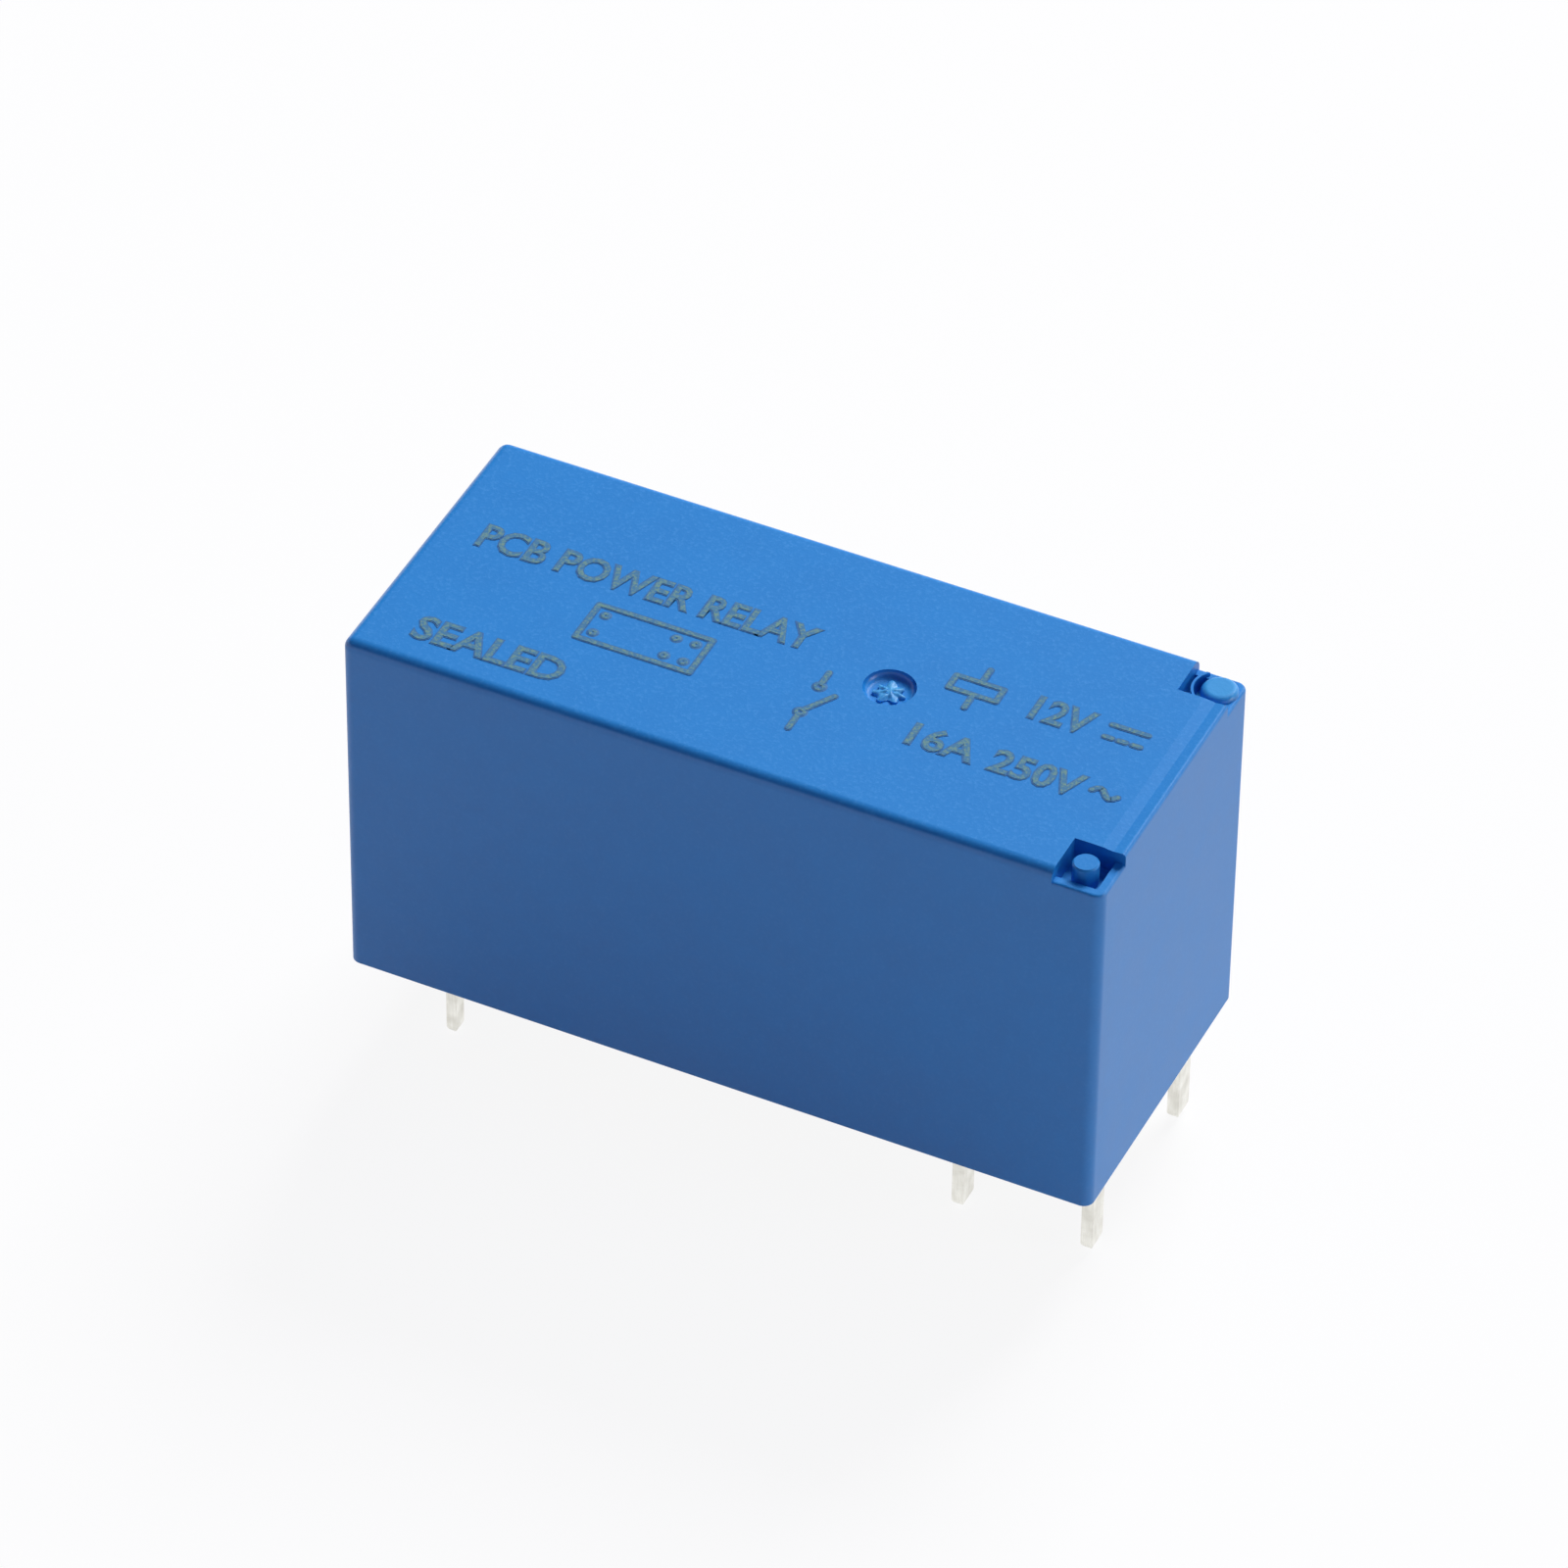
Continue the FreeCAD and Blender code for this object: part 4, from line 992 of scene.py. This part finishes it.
    def supply_signs(self, layer: Layer) -> list[bpy.types.Object]:
        """Draws the signs for direct and alternating current.

        Args:
            layer: the layer that they belong to.

        Returns:
            The strokes.
        """
        left, right, solid, broken, dash = 11.35, 12.7, 1.6, 0.92, 0.27
        pieces = [self.stroke((left, solid), (right, solid), layer)]
        for start in (left, 11.88, 12.41):
            pieces.append(self.stroke((start, broken), (start + dash, broken), layer))
        wave = []
        for step in range(9):
            wave.append((12.1 + 0.12 * step, -1.8 + 0.2 * math.sin(step * math.pi / 4)))
        for step, (start, end) in enumerate(zip(wave, wave[1:])):
            pieces.append(self.stroke(start, end, layer, self.crossing_mm * (step % 2)))
        return pieces

    def pin_diagram(self, layer: Layer) -> list[bpy.types.Object]:
        """Draws the outline of the body with its six pins.

        Args:
            layer: the layer that it belongs to.

        Returns:
            The strokes and circles.
        """
        left, right, low, high, inset, dot = -7.3, -2.9, -2.4, -0.5, 0.45, 0.1
        pieces = self.box(left, right, low, high, layer)
        for place in (left + inset, right - 1.2, right - inset):
            for side in (low + inset, high - inset):
                pieces.append(self.ring((place, side), dot, layer))
        return pieces


@dataclass
class Underside:
    """The black moulded base and the resin that seals it in the cover.

    The resin climbed the cover's wall and the pins before it set, so its skin curves up there.
    """

    terminals: tuple[str, ...]
    wall_climb_mm: float = 0.24
    pin_climb_mm: float = 0.3
    corner_mm: float = 0.27
    skin_mm: float = 0.012
    bite_mm: float = 0.02
    steps: int = 5

    def build(self, nodes: dict[str, bpy.types.Object]) -> None:
        """Dresses the base and the resin and adds the resin's curved skin.

        Args:
            nodes: the frame's nodes by name.
        """
        dress(nodes["base"], BASE_PLASTIC.build())
        resin = RESIN.build()
        dress(nodes["sealing_resin"], resin)
        pieces = [self.wall_skin()]
        for name in self.terminals:
            for pin in self.pins(nodes[name]):
                pieces.append(self.pin_skin(*pin))
        skin = join(pieces, "resin_skin")
        smooth(skin, angle_deg=50)
        dress(skin, resin)
        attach(skin, "housing")

    def pins(self, node: bpy.types.Object) -> list[tuple[float, float, float, float]]:
        """Finds where a terminal's pins leave the underside.

        Args:
            node: the terminal.

        Returns:
            The lowest and highest x and y of each pin, in metres.
        """
        places = [node.matrix_world @ vertex.co for vertex in node.data.vertices]
        found = []
        for side in (-1, 1):
            pin = [place for place in places if place.z < 0 and place.y * side > 0]
            if pin:
                across = [place.x for place in pin]
                along = [place.y for place in pin]
                found.append((min(across), max(across), min(along), max(along)))
        return found

    def wall_skin(self) -> bpy.types.Object:
        """Models the skin over the whole resin, which rises to the cover's wall.

        Returns:
            The skin, just under the resin's face.
        """
        low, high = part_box("sealing_resin")
        bite = self.bite_mm * MM
        foot = low.z - (self.wall_climb_mm + self.skin_mm) * MM
        piece = self.rounded_block(
            (low.x - bite, low.y - bite, foot),
            (high.x + bite, high.y + bite, low.z + bite),
            self.corner_mm * MM,
        )
        self.follow(piece, self.hollow_curve(self.wall_climb_mm * MM), -1)
        return piece

    def pin_skin(
        self, low_x: float, high_x: float, low_y: float, high_y: float
    ) -> bpy.types.Object:
        """Models the resin that clings to one pin.

        Args:
            low_x: the pin's lowest x, in metres.
            high_x: its highest x.
            low_y: its lowest y.
            high_y: its highest y.

        Returns:
            A small hollow-sided foot round the pin.
        """
        reach = self.pin_climb_mm * MM
        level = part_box("sealing_resin")[0].z - self.skin_mm * MM
        piece = self.rounded_block(
            (low_x - reach, low_y - reach, level),
            (high_x + reach, high_y + reach, level + self.bite_mm * MM),
            reach,
        )
        self.follow(piece, self.hollow_curve(reach)[::-1], 1)
        return piece

    def rounded_block(
        self, low: tuple[float, float, float], high: tuple[float, float, float], radius: float
    ) -> bpy.types.Object:
        """Makes a block with rounded upright edges.

        Args:
            low: its lowest corner, in metres.
            high: its highest corner, in metres.
            radius: the radius of its upright edges, in metres.

        Returns:
            The block.
        """
        clear_selection()
        bpy.ops.mesh.primitive_cube_add(size=1, location=(Vector(low) + Vector(high)) / 2)
        block = bpy.context.object
        block.scale = Vector(high) - Vector(low)
        block = settle(block, "block")
        round_upright_edges(block, radius, segments=6)
        return block

    def hollow_curve(self, reach: float) -> list[tuple[float, float]]:
        """Returns a hollow quarter round, from the wall to the level skin.

        Args:
            reach: its height and its width, in metres.

        Returns:
            The distance from the wall and the height of each point.
        """
        points = []
        for step in range(self.steps + 1):
            turn = math.pi / 2 * (1 - step / self.steps)
            points.append((reach * (1 - math.sin(turn)), reach * (1 - math.cos(turn))))
        return points

    def follow(self, piece: bpy.types.Object, points: list[tuple[float, float]], way: int) -> None:
        """Insets the lowest face of a block again and again along a curve.

        Args:
            piece: the block.
            points: the curve.
            way: 1 where the face moves down as it shrinks, -1 where it moves up.
        """
        open_with(piece, "FACE", lambda face: face.normal.z < -0.9)
        for start, end in zip(points, points[1:]):
            step_in = abs(end[0] - start[0])
            step_out = way * abs(end[1] - start[1])
            bpy.ops.mesh.inset(thickness=step_in, depth=step_out)
        bpy.ops.object.mode_set(mode="OBJECT")


@dataclass
class Terminals:
    """The six tinned pins and the two contact strips that carry four of them."""

    names: tuple[str, ...] = (
        "coil_terminal_1",
        "coil_terminal_2",
        "common_terminal",
        "no_terminal",
    )

    def build(self, nodes: dict[str, bpy.types.Object]) -> None:
        """Dresses the pins.

        Args:
            nodes: the frame's nodes by name.
        """
        material = TINNED_PIN.build()
        for name in self.names:
            dress(nodes[name], material)


@dataclass
class Magnet:
    """The coil on its bobbin, with core, yoke, armature and hinge spring."""

    wire_mm: float = 0.15
    segments: int = 48
    wire_segments: int = 6

    def build(self, nodes: dict[str, bpy.types.Object]) -> None:
        """Dresses the magnet and winds the coil.

        Args:
            nodes: the frame's nodes by name.
        """
        enamel = ENAMEL.build()
        iron = SOFT_IRON.build()
        dress(nodes["bobbin"], BOBBIN_PLASTIC.build())
        for name in ("core", "yoke", "armature"):
            dress(nodes[name], iron)
        dress(nodes["armature_spring"], SPRING_STEEL.build())
        for name in ("coil_lead_1", "coil_lead_2", "coil_winding"):
            dress(nodes[name], enamel)
        turns = self.coil_turns()
        dress(turns, enamel)
        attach(turns, "housing")
        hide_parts("coil_winding")

    def coil_turns(self) -> bpy.types.Object:
        """Models the outer layer of wire, one turn copied along the coil.

        Returns:
            The winding as a row of turns on a solid body.
        """
        low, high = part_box("coil_winding")
        radius = (high.z - low.z) / 2
        middle = (low + high) / 2
        wire = self.wire_mm * MM / 2
        count = int((high.x - low.x) / (2 * wire))
        pitch = (high.x - low.x) / count
        clear_selection()
        bpy.ops.mesh.primitive_torus_add(
            major_segments=self.segments,
            minor_segments=self.wire_segments,
            major_radius=radius - wire,
            minor_radius=wire,
            location=(low.x + pitch / 2, middle.y, middle.z),
            rotation=(0, math.pi / 2, 0),
        )
        turn = settle(bpy.context.object, "coil_turns")
        row = turn.modifiers.new("row", "ARRAY")
        row.count = count
        row.use_relative_offset = False
        row.use_constant_offset = True
        row.constant_offset_displace = (pitch, 0, 0)
        bpy.ops.object.modifier_apply(modifier=row.name)
        clear_selection()
        bpy.ops.mesh.primitive_cylinder_add(
            vertices=self.segments,
            radius=radius - wire,
            depth=high.x - low.x,
            location=middle,
            rotation=(0, math.pi / 2, 0),
        )
        body = settle(bpy.context.object, "coil_body")
        open_with(body, "FACE", lambda face: abs(face.normal.x) > 0.9)
        bpy.ops.mesh.inset(thickness=wire, depth=-wire)
        bpy.ops.object.mode_set(mode="OBJECT")
        turns = join([turn, body], "coil_turns")
        smooth(turns, angle_deg=60)
        return turns


@dataclass
class Contacts:
    """The card, the bending leaf, the two contacts and the leaf's rivets."""

    bend_from_mm: float = 4.3
    bend_to_mm: float = 5.6
    cuts: int = 12

    def build(self, nodes: dict[str, bpy.types.Object]) -> None:
        """Dresses the contact side and cuts a copy of the leaf across where it bends.

        Args:
            nodes: the frame's nodes by name.
        """
        silver = SILVER.build()
        copper = RIVET_COPPER.build()
        strip = COPPER_STRIP.build()
        dress(nodes["actuator_card"], CARD_PLASTIC.build())
        for name in ("moving_contact", "fixed_contact"):
            dress(nodes[name], silver)
        for name in ("spring_rivet_1", "spring_rivet_2"):
            dress(nodes[name], copper)
        dress(nodes["moving_spring"], strip)
        leaf = self.leaf(nodes["moving_spring"])
        dress(leaf, strip)
        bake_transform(leaf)
        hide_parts("moving_spring")

    def leaf(self, node: bpy.types.Object) -> bpy.types.Object:
        """Copies the leaf's mesh and cuts it across where it bends.

        Args:
            node: the frame's leaf.

        Returns:
            The leaf as one joined mesh.
        """
        leaf = bpy.data.objects.new("contact_leaf", node.data.copy())
        leaf.data.name = "contact_leaf"
        bpy.context.scene.collection.objects.link(leaf)
        activate(leaf)
        bpy.ops.object.mode_set(mode="EDIT")
        bpy.ops.mesh.select_all(action="SELECT")
        bpy.ops.mesh.remove_doubles(threshold=1e-7)
        for step in range(self.cuts + 1):
            share = step / self.cuts
            height = self.bend_from_mm + share * (self.bend_to_mm - self.bend_from_mm)
            bpy.ops.mesh.select_all(action="SELECT")
            bpy.ops.mesh.bisect(plane_co=(0, 0, height * MM), plane_no=(0, 0, 1))
        bpy.ops.object.mode_set(mode="OBJECT")
        smooth(leaf, angle_deg=30)
        return leaf


@dataclass(frozen=True)
class Softbox:
    """A square studio light."""

    name: str
    side_m: float
    place_m: tuple[float, float, float]
    power_w: float
    aim_m: tuple[float, float, float] = (0.0, 0.0, 0.006)

    def build(self) -> None:
        """Adds the light, turned to the relay."""
        clear_selection()
        place = Vector(self.place_m)
        aim = (Vector(self.aim_m) - place).to_track_quat("-Z", "Y").to_euler()
        bpy.ops.object.light_add(type="AREA", location=place, rotation=aim)
        lamp = bpy.context.object
        lamp.name = self.name
        lamp.data.shape = "SQUARE"
        lamp.data.size = self.side_m
        lamp.data.energy = self.power_w


@dataclass
class Studio:
    """A pale floor, two soft lights and a dim surround."""

    floor_mm: float = -4.2
    floor_side_m: float = 12.0
    surround: float = 0.165
    fill_tint: str = "#BCB8FF"
    floor_bounce: float = 0.86
    lit_share: float = 0.09
    softboxes: tuple[Softbox, ...] = (
        Softbox("back_softbox", 0.6, (0.06, 0.92, 0.92), 17.8),
        Softbox("side_softbox", 0.5, (1.22, 0.12, 0.42), 2.5),
    )

    def build(self) -> None:
        """Builds the floor, the lights and the world."""
        clear_selection()
        low = (0, 0, self.floor_mm * MM)
        bpy.ops.mesh.primitive_plane_add(size=self.floor_side_m, location=low)
        floor = settle(bpy.context.object, "floor")
        dress(floor, self.floor_material())
        for softbox in self.softboxes:
            softbox.build()
        self.world()

    def shown(self, tree: bpy.types.NodeTree) -> bpy.types.Node:
        """Adds a mask that is 1 where the background itself is seen, directly or mirrored.

        Args:
            tree: the node tree.

        Returns:
            The mask's last node.
        """
        path = add_node(tree, "ShaderNodeLightPath")
        first = add_node(
            tree,
            "ShaderNodeMath",
            {"operation": "MAXIMUM"},
            {0: (path, "Is Camera Ray"), 1: (path, "Is Glossy Ray")},
        )
        return add_node(
            tree,
            "ShaderNodeMath",
            {"operation": "MAXIMUM"},
            {0: (first, "Value"), 1: (path, "Is Transmission Ray")},
        )

    def floor_material(self) -> bpy.types.Material:
        """Builds the floor: white where it is seen, with a soft shadow, and greyer as a reflector.

        Returns:
            The floor's material.
        """
        material, tree = new_material("pale_paper")
        shown = self.shown(tree)
        paper = add_node(tree, "ShaderNodeBsdfDiffuse", {"Color": grey(1.0)})
        glow = add_node(tree, "ShaderNodeEmission", {"Color": grey(1.0), "Strength": 1.0})
        seen = add_node(
            tree,
            "ShaderNodeMixShader",
            {0: self.lit_share},
            {1: (glow, "Emission"), 2: (paper, "BSDF")},
        )
        bounce = add_node(tree, "ShaderNodeBsdfDiffuse", {"Color": grey(self.floor_bounce)})
        both = add_node(
            tree,
            "ShaderNodeMixShader",
            links={0: (shown, "Value"), 1: (bounce, "BSDF"), 2: (seen, "Shader")},
        )
        add_node(tree, "ShaderNodeOutputMaterial", links={"Surface": (both, "Shader")})
        return material

    def world(self) -> None:
        """Makes the surround dim for the object and white where it is seen.

        A mirrored ray sees it white near the horizon and dim overhead, as under a dark ceiling.
        """
        world = bpy.data.worlds.new("surround")
        world.use_nodes = True
        tree = world.node_tree
        tree.nodes.clear()
        shown = self.shown(tree)
        way = add_node(tree, "ShaderNodeTexCoord")
        height = add_node(tree, "ShaderNodeSeparateXYZ", links={"Vector": (way, "Generated")})
        path = add_node(tree, "ShaderNodeLightPath")
        overhead = add_node(
            tree,
            "ShaderNodeMapRange",
            {"From Min": 0.25, "From Max": 0.5, "To Min": 1.0, "To Max": 0.1},
            {"Value": (height, "Z")},
        )
        direct = add_node(
            tree,
            "ShaderNodeMath",
            {"operation": "MAXIMUM"},
            {0: (path, "Is Camera Ray"), 1: (overhead, "Result")},
        )
        strength = add_node(
            tree,
            "ShaderNodeMapRange",
            {"To Min": self.surround},
            {"Value": (shown, "Value"), "To Max": (direct, "Value")},
        )
        tint = add_node(
            tree,
            "ShaderNodeMix",
            {"data_type": "RGBA", 6: linear(self.fill_tint), 7: grey(1.0)},
            {0: (shown, "Value")},
        )
        light = add_node(
            tree,
            "ShaderNodeBackground",
            links={"Color": (tint, 2), "Strength": (strength, "Result")},
        )
        add_node(tree, "ShaderNodeOutputWorld", links={"Surface": (light, "Background")})
        bpy.context.scene.world = world


@dataclass
class Viewpoint:
    """The photograph's camera."""

    azimuth_deg: float = 25.1466
    elevation_deg: float = 41.367
    roll_deg: float = 0.7664
    distance_mm: float = 338.05
    aim_mm: tuple[float, float, float] = (-1.068, 1.533, 7.5)
    lens_mm: float = 219.83
    sensor_mm: float = 36.0

    def build(self) -> None:
        """Adds the camera and makes it the scene's."""
        azimuth = math.radians(self.azimuth_deg)
        elevation = math.radians(self.elevation_deg)
        roll = math.radians(self.roll_deg)
        back = Vector(
            (
                math.sin(azimuth) * math.cos(elevation),
                -math.cos(azimuth) * math.cos(elevation),
                math.sin(elevation),
            )
        )
        level = Vector((math.cos(azimuth), math.sin(azimuth), 0))
        rise = back.cross(level)
        right = level * math.cos(roll) + rise * math.sin(roll)
        up = back.cross(right)
        place = Vector(self.aim_mm) * MM + back * self.distance_mm * MM
        clear_selection()
        bpy.ops.object.camera_add()
        camera = bpy.context.object
        camera.name = "photograph_camera"
        turn = Matrix((right, up, back)).transposed()
        camera.matrix_world = Matrix.Translation(place) @ turn.to_4x4()
        camera.data.sensor_fit = "HORIZONTAL"
        camera.data.sensor_width = self.sensor_mm
        camera.data.lens = self.lens_mm
        camera.data.clip_start = 0.02
        camera.data.clip_end = 50.0
        bpy.context.scene.camera = camera


def main() -> None:
    """Loads the frame, dresses it and sets up camera and studio."""
    logging.basicConfig(level=logging.INFO, format="%(message)s")
    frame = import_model()
    nodes = frame["nodes"]
    Viewpoint().build()
    Studio().build()
    terminals = Terminals()
    underside = Underside(terminals.names)
    for assembly in (Cover(), underside, terminals, Magnet(), Contacts()):
        assembly.build(nodes)
        LOG.info("dressed %s", type(assembly).__name__)
    Marking().build()
    LOG.info("added the markings")
    bpy.context.scene.view_settings.view_transform = "Standard"


if __name__ == "__main__":
    main()
